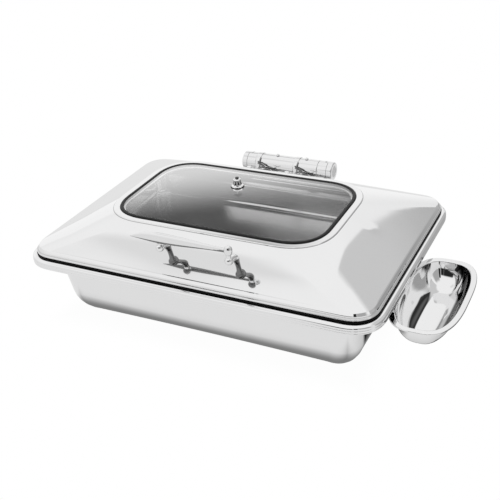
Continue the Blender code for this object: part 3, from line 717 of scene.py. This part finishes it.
def window():
    half_y = (GASKET_HIGH.y - GASKET_LOW.y) / 2
    section = [(0.0, GASKET_LOW.z, 0.0004), (0.0, GLASS_Z + 0.0010, 0.0010)]
    section += [(0.0014, GLASS_Z + 0.0020, 0.0016), (0.0042, GLASS_Z + 0.0020, 0.0016)]
    section += [(0.0056, GLASS_Z + 0.0008, 0.0008), (0.0056, GLASS_Z + 0.0003, 0.0001)]
    section += [(0.0037, GLASS_Z + 0.0003, 0.0001), (0.0037, GASKET_LOW.z, 0)]
    rows, fillets = rect_rows(GASKET_HIGH.x, half_y, GASKET_R, section, (0.0, WINDOW_Y))
    shape = loft(rounded(rows, fillets, True), True)
    piece("gasket_body", shape, LOOKS["gasket"], "lid", ("window_gasket",))
    inset = GASKET_HIGH.x - GLASS_HIGH.x
    pane = [(inset + 0.05, GLASS_LOW.z, 0), (inset, GLASS_LOW.z, 0.0006), (inset, GLASS_Z, 0.0006)]
    pane += [(inset + 0.05, GLASS_Z, 0)]
    rows, fillets = rect_rows(GASKET_HIGH.x, half_y, GASKET_R, pane, (0.0, WINDOW_Y))
    shape = loft(rounded(rows, fillets, steps=3))
    piece("window_pane", shape, LOOKS["glass"], "lid", ("window_glass",))


# Vent knob

PILLARS = 8
# (distance from the knob's axis, height above the glass, radius) of a pillar's foot and top
PILLAR_FOOT, PILLAR_TOP = (0.0062, 0.0048, 0.0014), (0.0042, 0.0117, 0.0013)


def vent():
    low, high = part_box("vent_washer")
    place = Vector(((low.x + high.x) / 2, (low.y + high.y) / 2, GLASS_Z))
    washer = [(0.0050, 0.0003, 0), (0.0114, 0.0003, 0.0004), (0.0110, 0.0014, 0.0004), (0.0050, 0.0014, 0)]
    shape = turned(washer, place, closed=True)
    piece("knob_washer", shape, LOOKS["rubber"], "lid", ("vent_washer",))
    base = [(0.0, 0.0015, 0), (0.0106, 0.0015, 0.0006), (0.0100, 0.0034, 0.0014), (0.0074, 0.0046, 0.0012)]
    base += [(0.0066, 0.0052, 0.0005), (0.0, 0.0052, 0)]
    piece("knob_base", turned(base, place), LOOKS["small"], "lid", ("vent_stem",))
    # The core between the pillars is dark steel: painted shade for the vent's dark inside
    core = [(0.0, 0.0050, 0), (0.0044, 0.0050, 0), (0.0030, 0.0121, 0), (0.0, 0.0121, 0)]
    piece("knob_core", turned(core, place), LOOKS["dark"], "lid")
    for i in range(PILLARS):
        angle = 2 * math.pi * (i + 0.5) / PILLARS
        out = Vector((math.cos(angle), math.sin(angle), 0))
        ends = [place + away * out + Vector((0, 0, rise)) for away, rise, _ in (PILLAR_FOOT, PILLAR_TOP)]
        shape = swept(ends, [PILLAR_FOOT[2], PILLAR_TOP[2]], 12)
        piece(f"knob_pillar_{i}", shape, LOOKS["small"], "lid")
    cap = [(0.0026, 0.0123, 0.0002), (0.0064, 0.0123, 0.0006), (0.0067, 0.0134, 0.0008)]
    cap += [(0.0052, 0.0149, 0.0012), (0.0034, 0.0153, 0.0004), (0.0026, 0.0151, 0.0002)]
    shape = turned(cap, place, closed=True)
    piece("knob_cap", shape, LOOKS["small"], "vent_cap", ("vent_cap",))
    screw = [(0.0, 0.0155, 0), (0.0031, 0.0155, 0.0003), (0.0029, 0.0174, 0.0008), (0.0, 0.0182, 0)]
    shape = turned(screw, place)
    piece("knob_screw", shape, LOOKS["dark"], "vent_cap", ("vent_cap_screw",))


# Handle

LEG_XS = {
    side: (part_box(f"handle_leg_{side}")[0].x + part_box(f"handle_leg_{side}")[1].x) / 2
    for side in ("left", "right")
}
LEG_Y = -0.169
GRIP_Y = (GRIP_LOW.y + GRIP_HIGH.y) / 2
GRIP_FAT_R, GRIP_NECK_R, GRIP_TIP_R = 0.0085, 0.0036, 0.0006
GRIP_Z = GRIP_HIGH.z - GRIP_FAT_R
GRIP_FAT_X = -0.024
GRIP_END_X = LEG_XS["right"] - 0.006
GRIP_FLAT = 0.62
# The grip's underside is painted shade, starting this share of its radius below its middle and rising over
# its last stretch
GRIP_SHADE, GRIP_SHADE_RISE, GRIP_WEDGE = -0.45, 0.80, 0.018
GRIP_KNOB = 1.45
BALL_R, BALL_DROP = 0.0062, 0.0155
# (reach share, rise share, radius) from a leg's foot to its ball
NECK = [(0.0, 0.0, 0.0042), (0.08, 0.30, 0.0036), (0.20, 0.58, 0.0040), (0.34, 0.80, 0.0054)]
NECK += [(0.52, 0.93, 0.0052), (0.72, 0.99, 0.0042), (0.92, 1.0, 0.0038)]
# A neck is painted shade up to this share of its rise and bright above it; a ball is painted shade past this
# share of its radius off the lid
NECK_BRIGHT, BALL_SHADE = 0.86, -0.3


def front_face():
    """(a point on the lid's front face where the handle stands, the face's normal)."""
    foot_y, foot_z = -(LID_HIGH.y - FACE_FOOT_INSET), LID_Z + FACE_FOOT_RISE
    top_y, top_z = GASKET_LOW.y - TRIM_WIDTH, GLASS_Z - FACE_DROP
    share = (LEG_Y - foot_y) / (top_y - foot_y)
    slope = top_z - foot_z + FRONT_BULGE * math.pi * math.cos(math.pi * share)
    normal = Vector((0, -slope, top_y - foot_y)).normalized()
    height = foot_z + (top_z - foot_z) * share + FRONT_BULGE * math.sin(math.pi * share)
    return Vector((0, LEG_Y, height)), normal


def grip_radius(x):
    if x <= GRIP_FAT_X:
        share = (x - GRIP_LOW.x) / (GRIP_FAT_X - GRIP_LOW.x)
        return GRIP_TIP_R + (GRIP_FAT_R - GRIP_TIP_R) * math.sin(share * math.pi / 2)
    share = min((x - GRIP_FAT_X) / (GRIP_END_X - GRIP_FAT_X), 1.0)
    return GRIP_FAT_R + (GRIP_NECK_R - GRIP_FAT_R) * (0.5 - 0.5 * math.cos(math.pi * share))


def grip_point(x):
    beyond = max(GRIP_FAT_X - x, 0.0)
    return Vector((x, GRIP_Y, GRIP_Z - 2.0 * beyond**2))


def in_grip_shade(at):
    """Whether a point of the grip lies on its underside of painted shade."""
    above = (at.z - grip_point(at.x).z) / grip_radius(at.x)
    near_end = max(0.0, 1.0 - (GRIP_END_X - at.x) / GRIP_WEDGE)
    return at.x < GRIP_END_X and above < GRIP_SHADE + GRIP_SHADE_RISE * near_end


def handle():
    count = 48
    xs = [GRIP_LOW.x + (GRIP_END_X - GRIP_LOW.x) * (i / count) for i in range(count + 1)]
    radii = [grip_radius(x) for x in xs]
    knob_steps = [(0.0012, 0.0037), (0.0022, 0.0046), (0.0040, 0.0055), (0.0062, 0.0058), (0.0084, 0.0054)]
    knob_steps += [(0.0102, 0.0043), (0.0115, 0.0026), (0.0122, 0.0006)]
    xs += [GRIP_END_X + step for step, _ in knob_steps]
    radii += [GRIP_KNOB * radius for _, radius in knob_steps]
    shape = swept([grip_point(x) for x in xs], radii, 32, GRIP_FLAT)
    grip = piece("grip_body", shape, LOOKS["small"], "lid", ("handle_grip",))
    # Painted shade on the grip's underside, mirrored dark in the lid
    repaint(grip, LOOKS["shadow"], in_grip_shade)
    spot, normal = front_face()
    for side, x in LEG_XS.items():
        foot = Vector((x, spot.y, spot.z)) + normal * 0.0003
        plinth = [(0.0, 0.0, 0), (0.0078, 0.0, 0.0004), (0.0074, 0.0016, 0.0008), (0.0050, 0.0028, 0.002)]
        plinth += [(0.0042, 0.0062, 0.001), (0.0, 0.0062, 0)]
        shape = turned(plinth, foot, normal, 32)
        # The leg's foot is painted shade all over
        piece(f"leg_foot_{side}", shape, LOOKS["shadow"], "lid", (f"handle_leg_{side}",))
        start = foot + normal * 0.004
        ball_at = Vector((x, GRIP_Y, GRIP_Z - BALL_DROP))
        reach, rise = ball_at.y - start.y, ball_at.z - start.z
        path = smooth_path([start + Vector((0, reach * a, rise * b)) for a, b, _ in NECK], 40)
        sizes = smooth_path([Vector((radius, 0, 0)) for _, _, radius in NECK], 40)
        shape = swept(path, [size.x for size in sizes], 24)
        # The neck is painted shade, and its top is repainted bright as its lit part
        neck = piece(f"leg_neck_{side}", shape, LOOKS["shadow"], "lid")
        repaint(neck, LOOKS["cast"], lambda at: at.z > start.z + NECK_BRIGHT * rise)
        ball = [(BALL_R * math.sin(a), BALL_R * math.cos(a), 0) for a in np.linspace(0, math.pi, 17)]
        shape = turned(ball, ball_at, sides=32)
        knob = piece(f"leg_ball_{side}", shape, LOOKS["cast"], "lid")
        # Painted shade on the ball's side toward the lid, mirrored dark in it
        repaint(knob, LOOKS["shadow"], lambda at: (at - ball_at).dot(normal) < BALL_SHADE * BALL_R)
        height = grip_point(x).z - grip_radius(x) - ball_at.z + 0.0015
        pin = [(0.0, 0.0, 0), (0.0042, 0.0, 0), (0.0034, height * 0.8, 0.001), (0.0042, height, 0.0004)]
        pin += [(0.0, height, 0)]
        piece(f"leg_pin_{side}", turned(pin, ball_at, sides=24), LOOKS["cast"], "lid")


# Hinge

CAP_LENGTH = 0.0275
COLLARS = {"left": -0.0550, "right": 0.0185}
COLLAR_R, ARM_WIDTH, PAD_WIDTH = BARREL_R + 0.0010, 0.009, 0.034
# (half thickness, highest angle above the front) of the strap down a collar, and its number of path steps
STRAP_THICK, STRAP_TOP, STRAP_STEPS = 0.0017, 58, 60
# The dark sheet under a strap, painted shade outlining it: extra half width and shift to the right, share of
# its thickness, path points
STRAP_SHADE_EXTRA, SHADE_SHEET_SHARE, SHADE_SHEET_POINTS = 0.0006, 0.55, 44
PAD_HALF, PAD_THICK, PAD_LIFT = 0.013, 0.0030, 0.0006
SEAM_R = 0.00032


def hinge():
    along = (1, 0, 0)
    groove = 0.0005
    barrel = [(0.0115, -BARREL_HALF, 0), (BARREL_R - groove, -BARREL_HALF, 0.0003)]
    barrel += [(BARREL_R, -BARREL_HALF + groove, 0.0003), (BARREL_R, BARREL_HALF - groove, 0.0003)]
    barrel += [(BARREL_R - groove, BARREL_HALF, 0.0003), (0.0115, BARREL_HALF, 0)]
    shape = turned(barrel, HINGE, along, 64, True)
    piece("barrel_body", shape, LOOKS["small"], "base", ("hinge_barrel",))
    for side, sign in (("left", -1), ("right", 1)):
        face = BARREL_HALF + 0.0003
        end = face + CAP_LENGTH
        cap = [(0.0110, face - 0.012, 0), (0.0110, face, 0), (BARREL_R - groove, face, 0.0003)]
        cap += [(BARREL_R, face + groove, 0.0003), (BARREL_R, end, 0.0022), (0.0102, end, 0.0002)]
        cap += [(0.0094, end - 0.0008, 0.0004), (0.0060, end - 0.0008, 0), (0.0060, face - 0.012, 0)]
        shape = turned(cap, HINGE, (sign, 0, 0), 64, True)
        piece(f"end_cap_{side}", shape, LOOKS["small"], "base", (f"hinge_end_cap_{side}",))
        disc = [(0.0, end - 0.0030, 0), (0.0098, end - 0.0030, 0), (0.0098, end - 0.0002, 0.0002)]
        disc += [(0.0, end - 0.0002, 0)]
        shape = turned(disc, HINGE, (sign, 0, 0), 48)
        piece(f"end_disc_{side}", shape, LOOKS["satin"], "base")
        seam_at, jog = face + 0.0115, 0.006
        path = []
        for i in range(33):
            angle = math.radians(-160 + 10 * i)
            x = seam_at if i <= 16 else seam_at + jog
            path.append((x * sign, angle))
        points = [
            HINGE + Vector((x, BARREL_R * math.sin(a) * -1, BARREL_R * math.cos(a))) for x, a in path
        ]
        points.insert(17, (points[16] + points[17]) / 2)
        shape = swept(points, [SEAM_R] * len(points), 8)
        piece(f"cap_seam_{side}", shape, LOOKS["dark"], "base")
        low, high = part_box(f"barrel_screw_{side}")
        place = Vector(((low.x + high.x) / 2, (low.y + high.y) / 2, low.z))
        dome = [(0.0, 0.0, 0), (0.0032, 0.0, 0.0003), (0.0029, 0.0016, 0.0008), (0.0016, 0.0028, 0.0006)]
        dome += [(0.0012, 0.0020, 0.0002), (0.0, 0.0018, 0)]
        shape = turned(dome, place, sides=24)
        piece(f"barrel_bolt_{side}", shape, LOOKS["small"], "base", (f"barrel_screw_{side}",))
    for side, offset in COLLARS.items():
        arm(side, HINGE.x + offset - ARM_WIDTH / 2)


def arm(side, left):
    """Collar round the barrel, strap down to a pad on the lid's back face with a sheet of painted shade under
    it, and a gusset of painted shade.
    """
    half = ARM_WIDTH / 2
    right, pad_right = left + ARM_WIDTH, left + PAD_WIDTH
    bore = BARREL_R + 0.0003
    middle = Vector((left + half, HINGE.y, HINGE.z))
    collar = [(bore, -half, 0.0001), (COLLAR_R, -half, 0.0004)]
    collar += [(COLLAR_R, half, 0.0004), (bore, half, 0.0001)]
    shape = turned(collar, middle, (1, 0, 0), 64, True)
    piece(f"arm_collar_{side}", shape, LOOKS["small"], "lid", (f"lid_arm_{side}",))
    low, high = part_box(f"arm_screw_{side}_outer")
    pad_middle = (low.y + high.y) / 2
    pad_back, pad_front = pad_middle + PAD_HALF, pad_middle - PAD_HALF
    z_back, z_front = (back_face_height(y) + PAD_LIFT for y in (pad_back, pad_front))
    web_back = HINGE.y - bore - 0.0025
    web_front = web_back - 0.0020
    pad_tip = web_front + 0.0014
    pad = [(pad_front, z_front), (pad_front, z_front + PAD_THICK), (pad_back, z_back + PAD_THICK)]
    pad += [(pad_tip, z_back + PAD_THICK), (pad_tip, z_back), (pad_back, z_back)]
    shape = extruded(pad, left - 0.0003, pad_right)
    piece(f"arm_pad_{side}", shape, LOOKS["small"], "lid", bevel=0.0007)
    path = []
    for angle in np.radians(np.linspace(STRAP_TOP, -14, 20)):
        path.append(middle + COLLAR_R * Vector((0, -math.cos(angle), math.sin(angle))))
    path.append(Vector((middle.x, pad_back - 0.004, z_back + PAD_THICK)))
    path.append(Vector((middle.x, pad_front + 0.004, z_front + PAD_THICK)))
    path = smooth_path(path, STRAP_STEPS)
    sizes = [STRAP_THICK * min(1.0, math.sqrt((i + 0.3) / 5)) for i in range(STRAP_STEPS + 1)]
    shape = swept(path, sizes, 24, half / STRAP_THICK)
    piece(f"arm_strap_{side}", shape, LOOKS["small"], "lid")
    # A dark sheet under the strap's edges: painted shade
    path = [point + Vector((STRAP_SHADE_EXTRA, 0, 0)) for point in path[:SHADE_SHEET_POINTS]]
    sizes = [SHADE_SHEET_SHARE * size for size in sizes[:SHADE_SHEET_POINTS]]
    shape = swept(path, sizes, 24, (half + STRAP_SHADE_EXTRA) / STRAP_THICK / SHADE_SHEET_SHARE)
    piece(f"arm_shade_sheet_{side}", shape, LOOKS["shadow"], "lid")
    # The gusset takes the painted-shade steel: a painted dark reflection
    middle_y = (web_front + web_back) / 2 - 0.0014
    bends = [(right - 0.001, 0.0085), (right + 0.006, 0.0052), (right + 0.013, -0.0005)]
    bends.append((pad_right - 0.003, -0.0045))
    path = smooth_path([Vector((x, middle_y, HINGE.z + z)) for x, z in bends], 20)
    sizes = [0.0022 + 0.0005 * math.cos(4 * math.pi * i / 20) for i in range(21)]
    shape = swept(path, sizes, 16, 0.45)
    piece(f"arm_web_{side}", shape, LOOKS["shadow"], "lid")


def back_face_height(y):
    """Height of the lid's back face at this y."""
    foot_y, foot_z = LID_HIGH.y - FACE_FOOT_INSET, LID_Z + FACE_FOOT_RISE
    top_y, top_z = GASKET_HIGH.y + TRIM_WIDTH, GLASS_Z - FACE_DROP
    share = min(max((foot_y - y) / (foot_y - top_y), 0.0), 1.0)
    return foot_z + (top_z - foot_z) * share


def finish_cad(name, look, bevel=0.0):
    """Gives a CAD node that stays its material, soft edges and even shading."""
    obj = frame["nodes"][name]
    obj.data.materials.clear()
    obj.data.materials.append(look)
    obj.data.shade_smooth()
    obj.data.set_sharp_from_angle(angle=math.radians(CAD_SHARP))
    if bevel:
        round_edges(obj, bevel)


# Spoon bowl

BOWL = Vector(((BOWL_LOW.x + BOWL_HIGH.x) / 2, (BOWL_LOW.y + BOWL_HIGH.y) / 2, BOWL_HIGH.z))
BOWL_X, BOWL_Y = (BOWL_HIGH.x - BOWL_LOW.x) / 2, (BOWL_HIGH.y - BOWL_LOW.y) / 2
BOWL_POWER, BOWL_RIM, BOWL_DEPTH = 3.0, 0.0075, 0.041
BOWL_SIDES = 96


def bowl_ring(shrink, drop):
    angles = np.linspace(0, 2 * math.pi, BOWL_SIDES, endpoint=False)
    c, s = np.cos(angles), np.sin(angles)
    x = BOWL.x + np.sign(c) * np.abs(c) ** (2 / BOWL_POWER) * (BOWL_X - shrink)
    y = BOWL.y + np.sign(s) * np.abs(s) ** (2 / BOWL_POWER) * (BOWL_Y - shrink)
    return np.stack([x, y, np.full_like(x, BOWL.z - drop)], 1)


def bowl_wall(sheet):
    """(shrink, drop) down the bowl's side to the middle of its floor."""
    steps = 16
    out = []
    for i in range(1, steps + 1):
        angle = math.radians(90 * i / steps)
        shrink = BOWL_RIM + sheet + 0.030 * (1 - math.cos(angle)) + 0.004 * i / steps
        out.append((shrink, (BOWL_DEPTH - sheet) * math.sin(angle)))
    floor = out[-1][0]
    for share in (0.35, 0.7, 0.97):
        out.append((floor + (BOWL_X - floor) * share, BOWL_DEPTH - sheet))
    return out


def spoon_bowl():
    inner = [(BOWL_RIM + SHEET, 0.0)] + bowl_wall(SHEET)
    outer = [(BOWL_RIM, SHEET)] + bowl_wall(0.0)
    rows = [bowl_ring(shrink, drop) for shrink, drop in reversed(inner)]
    fillets = [0] * (len(inner) - 1) + [0.0022]
    rows += [bowl_ring(0.0, 0.0), bowl_ring(0.0, 0.0024), bowl_ring(0.0014, 0.0024), bowl_ring(0.0016, SHEET)]
    fillets += [0.0016, 0.0005, 0.0004, 0.0004]
    rows += [bowl_ring(shrink, drop) for shrink, drop in outer]
    fillets += [0.0015] + [0] * (len(outer) - 1)
    shape = loft(rounded(rows, fillets))
    piece("bowl_body", shape, LOOKS["bowl"], "spoon_bowl", ("spoon_bowl",))


# Studio

LENS, SENSOR = 59.95, 36
YAW, PITCH, ROLL = 27.98, 29.38, -4.18
CAMERA_PLACE = Vector((0.5701, -1.0512, LID_Z + 0.6302))
# Room levels below and above the (elevation, softness) where the ceiling starts
ROOM_LIGHT, CEILING_LIGHT, CEILING_FROM = 0.80, 0.96, (20, 22)
FLOOR_Z = -0.0004
# Floor levels in the object's reflections: open floor, painted shade to the right, painted shadow next to the
# pan
FLOOR_LIGHT, FLOOR_RIGHT_SHADE, FLOOR_SHADE = 0.82, 0.42, 0.22
PAN_SHADE_X, PAN_SHADE_Y, PAN_SHADE_REACH = 0.235, 0.145, 0.055
RIGHT_SHADE_FROM_X, RIGHT_SHADE_FROM_Y = (0.26, 0.03), (-0.08, 0.12)
# (x, y, half x, half y) of the shade under the bowl, its level and its softness
BOWL_SHADE, BOWL_SHADE_LEVEL, BOWL_SHADE_SOFT = (0.31, 0.03, 0.045, 0.09), 0.015, 0.012
# (azimuth low, high, elevation low, high, azimuth softness, elevation softness, level), angles in degrees
CARDS = [
    (-80, 0, -8, 27, 9, 3, 1.00),
    (-44, -25, 28.5, 37, 4, 1.2, 0.34),
    (12.2, 84, -40, 58, 0.4, 5, 0.64),
    (12.2, 84, -40, 29, 0.4, 2.5, 0.50),
    (30, 90, -40, 13, 4, 4, 0.36),
    (100, 150, -20, 52, 8, 8, 0.42),
    (149, 162, -40, 41, 1.5, 1.5, 0.02),
    (164, 181, -2, 30, 3, 3, 0.02),
    (-181, -160, -2, 30, 3, 3, 0.02),
    (-132, -104, 50, 66, 6, 3, 0.80),
]


def camera():
    yaw, pitch, roll = (math.radians(a) for a in (YAW, PITCH, ROLL))
    ahead = Vector((-math.sin(yaw) * math.cos(pitch), math.cos(yaw) * math.cos(pitch), -math.sin(pitch)))
    right = Vector((math.cos(yaw), math.sin(yaw), 0))
    up = right.cross(ahead)
    turned_right = math.cos(roll) * right + math.sin(roll) * up
    turned_up = -math.sin(roll) * right + math.cos(roll) * up
    data = bpy.data.cameras.new("camera")
    data.sensor_width = SENSOR
    data.lens = LENS
    obj = bpy.data.objects.new("camera", data)
    turn = Matrix((turned_right, turned_up, -ahead)).transposed()
    obj.matrix_world = Matrix.Translation(CAMERA_PLACE) @ turn.to_4x4()
    bpy.context.scene.collection.objects.link(obj)
    bpy.context.scene.camera = obj


def floor():
    """A pale glowing floor: white to the camera but for a faint painted shadow next to the pan, and in the
    object's reflections painted shadow next to the pan, painted shade under the bowl and to the right.
    """
    size = 6.0
    mesh = bpy.data.meshes.new("floor")
    corners = [(-size, -size), (size, -size), (size, size), (-size, size)]
    mesh.from_pydata([(x, y, FLOOR_Z) for x, y in corners], [], [(0, 1, 2, 3)])
    obj = bpy.data.objects.new("floor", mesh)
    bpy.context.scene.collection.objects.link(obj)
    made, nodes, links, shader = start_material("pale_floor")
    nodes.remove(shader)
    m = Maths(nodes, links)
    place = nodes.new("ShaderNodeNewGeometry")
    split = nodes.new("ShaderNodeSeparateXYZ")
    links.new(place.outputs["Position"], split.inputs[0])
    x, y, _ = split.outputs
    beyond_x = m.do("SUBTRACT", m.do("ABSOLUTE", x), PAN_SHADE_X)
    beyond_y = m.do("SUBTRACT", m.do("ABSOLUTE", y), PAN_SHADE_Y)
    clear = m.step(m.do("MAXIMUM", beyond_x, beyond_y), PAN_SHADE_REACH / 2, PAN_SHADE_REACH / 2)
    right = m.do("MULTIPLY", m.step(x, *RIGHT_SHADE_FROM_X), m.step(y, *RIGHT_SHADE_FROM_Y))
    seen = m.toward(FLOOR_SHADE, clear, m.toward(FLOOR_LIGHT, right, FLOOR_RIGHT_SHADE))
    beyond_x = m.do("SUBTRACT", m.do("ABSOLUTE", m.do("SUBTRACT", x, BOWL_SHADE[0])), BOWL_SHADE[2])
    beyond_y = m.do("SUBTRACT", m.do("ABSOLUTE", m.do("SUBTRACT", y, BOWL_SHADE[1])), BOWL_SHADE[3])
    outside = m.step(m.do("MAXIMUM", beyond_x, beyond_y), BOWL_SHADE_SOFT, BOWL_SHADE_SOFT)
    seen = m.toward(BOWL_SHADE_LEVEL, outside, seen)
    # A faint painted shadow next to the pan, seen by the camera
    to_camera = m.do("MULTIPLY_ADD", clear, 0.02, 0.98)
    path = nodes.new("ShaderNodeLightPath")
    level = m.toward(seen, path.outputs["Is Camera Ray"], to_camera)
    glow = nodes.new("ShaderNodeEmission")
    links.new(level, glow.inputs["Color"])
    links.new(glow.outputs["Emission"], nodes["Material Output"].inputs["Surface"])
    mesh.materials.append(made)


def world():
    """A white room by direction: azimuth from +Y towards +X and elevation, both in degrees."""
    made = bpy.data.worlds.new("studio")
    bpy.context.scene.world = made
    made.use_nodes = True
    nodes, links = made.node_tree.nodes, made.node_tree.links
    m = Maths(nodes, links)
    source = nodes.new("ShaderNodeTexCoord")
    azimuth, elevation = directions(nodes, links, source.outputs["Generated"])
    level = m.toward(ROOM_LIGHT, m.step(elevation, *CEILING_FROM), CEILING_LIGHT)
    level = cards(m, azimuth, elevation, level, CARDS)
    path = nodes.new("ShaderNodeLightPath")
    level = m.toward(level, path.outputs["Is Camera Ray"], 1.0)
    background = nodes["Background"]
    links.new(level, background.inputs["Color"])


def studio():
    camera()
    floor()
    world()
    bpy.context.scene.view_settings.view_transform = "Standard"


def build():
    water_pan()
    pan_support()
    rim_seal()
    induction_plate()
    food_pan()
    lid()
    window()
    vent()
    handle()
    hinge()
    spoon_bowl()
    for name in ("hinge_bracket", "bowl_bracket", "bowl_tongue"):
        finish_cad(name, LOOKS["small"], 0.0004)
    finish_cad("vent_nut", LOOKS["small"], 0.0003)
    for side in COLLARS:
        finish_cad(f"bracket_screw_{side}", LOOKS["small"], 0.0003)
        finish_cad(f"handle_nut_{side}", LOOKS["small"], 0.0003)
        for place in ("inner", "outer"):
            finish_cad(f"arm_screw_{side}_{place}", LOOKS["small"])
    finish_cad("window_clamp", LOOKS["satin"])
    for name in ("hinge_shaft", "damper_cam"):
        finish_cad(name, LOOKS["dark"])
    finish_cad("damper_piston", LOOKS["small"])


build()
studio()
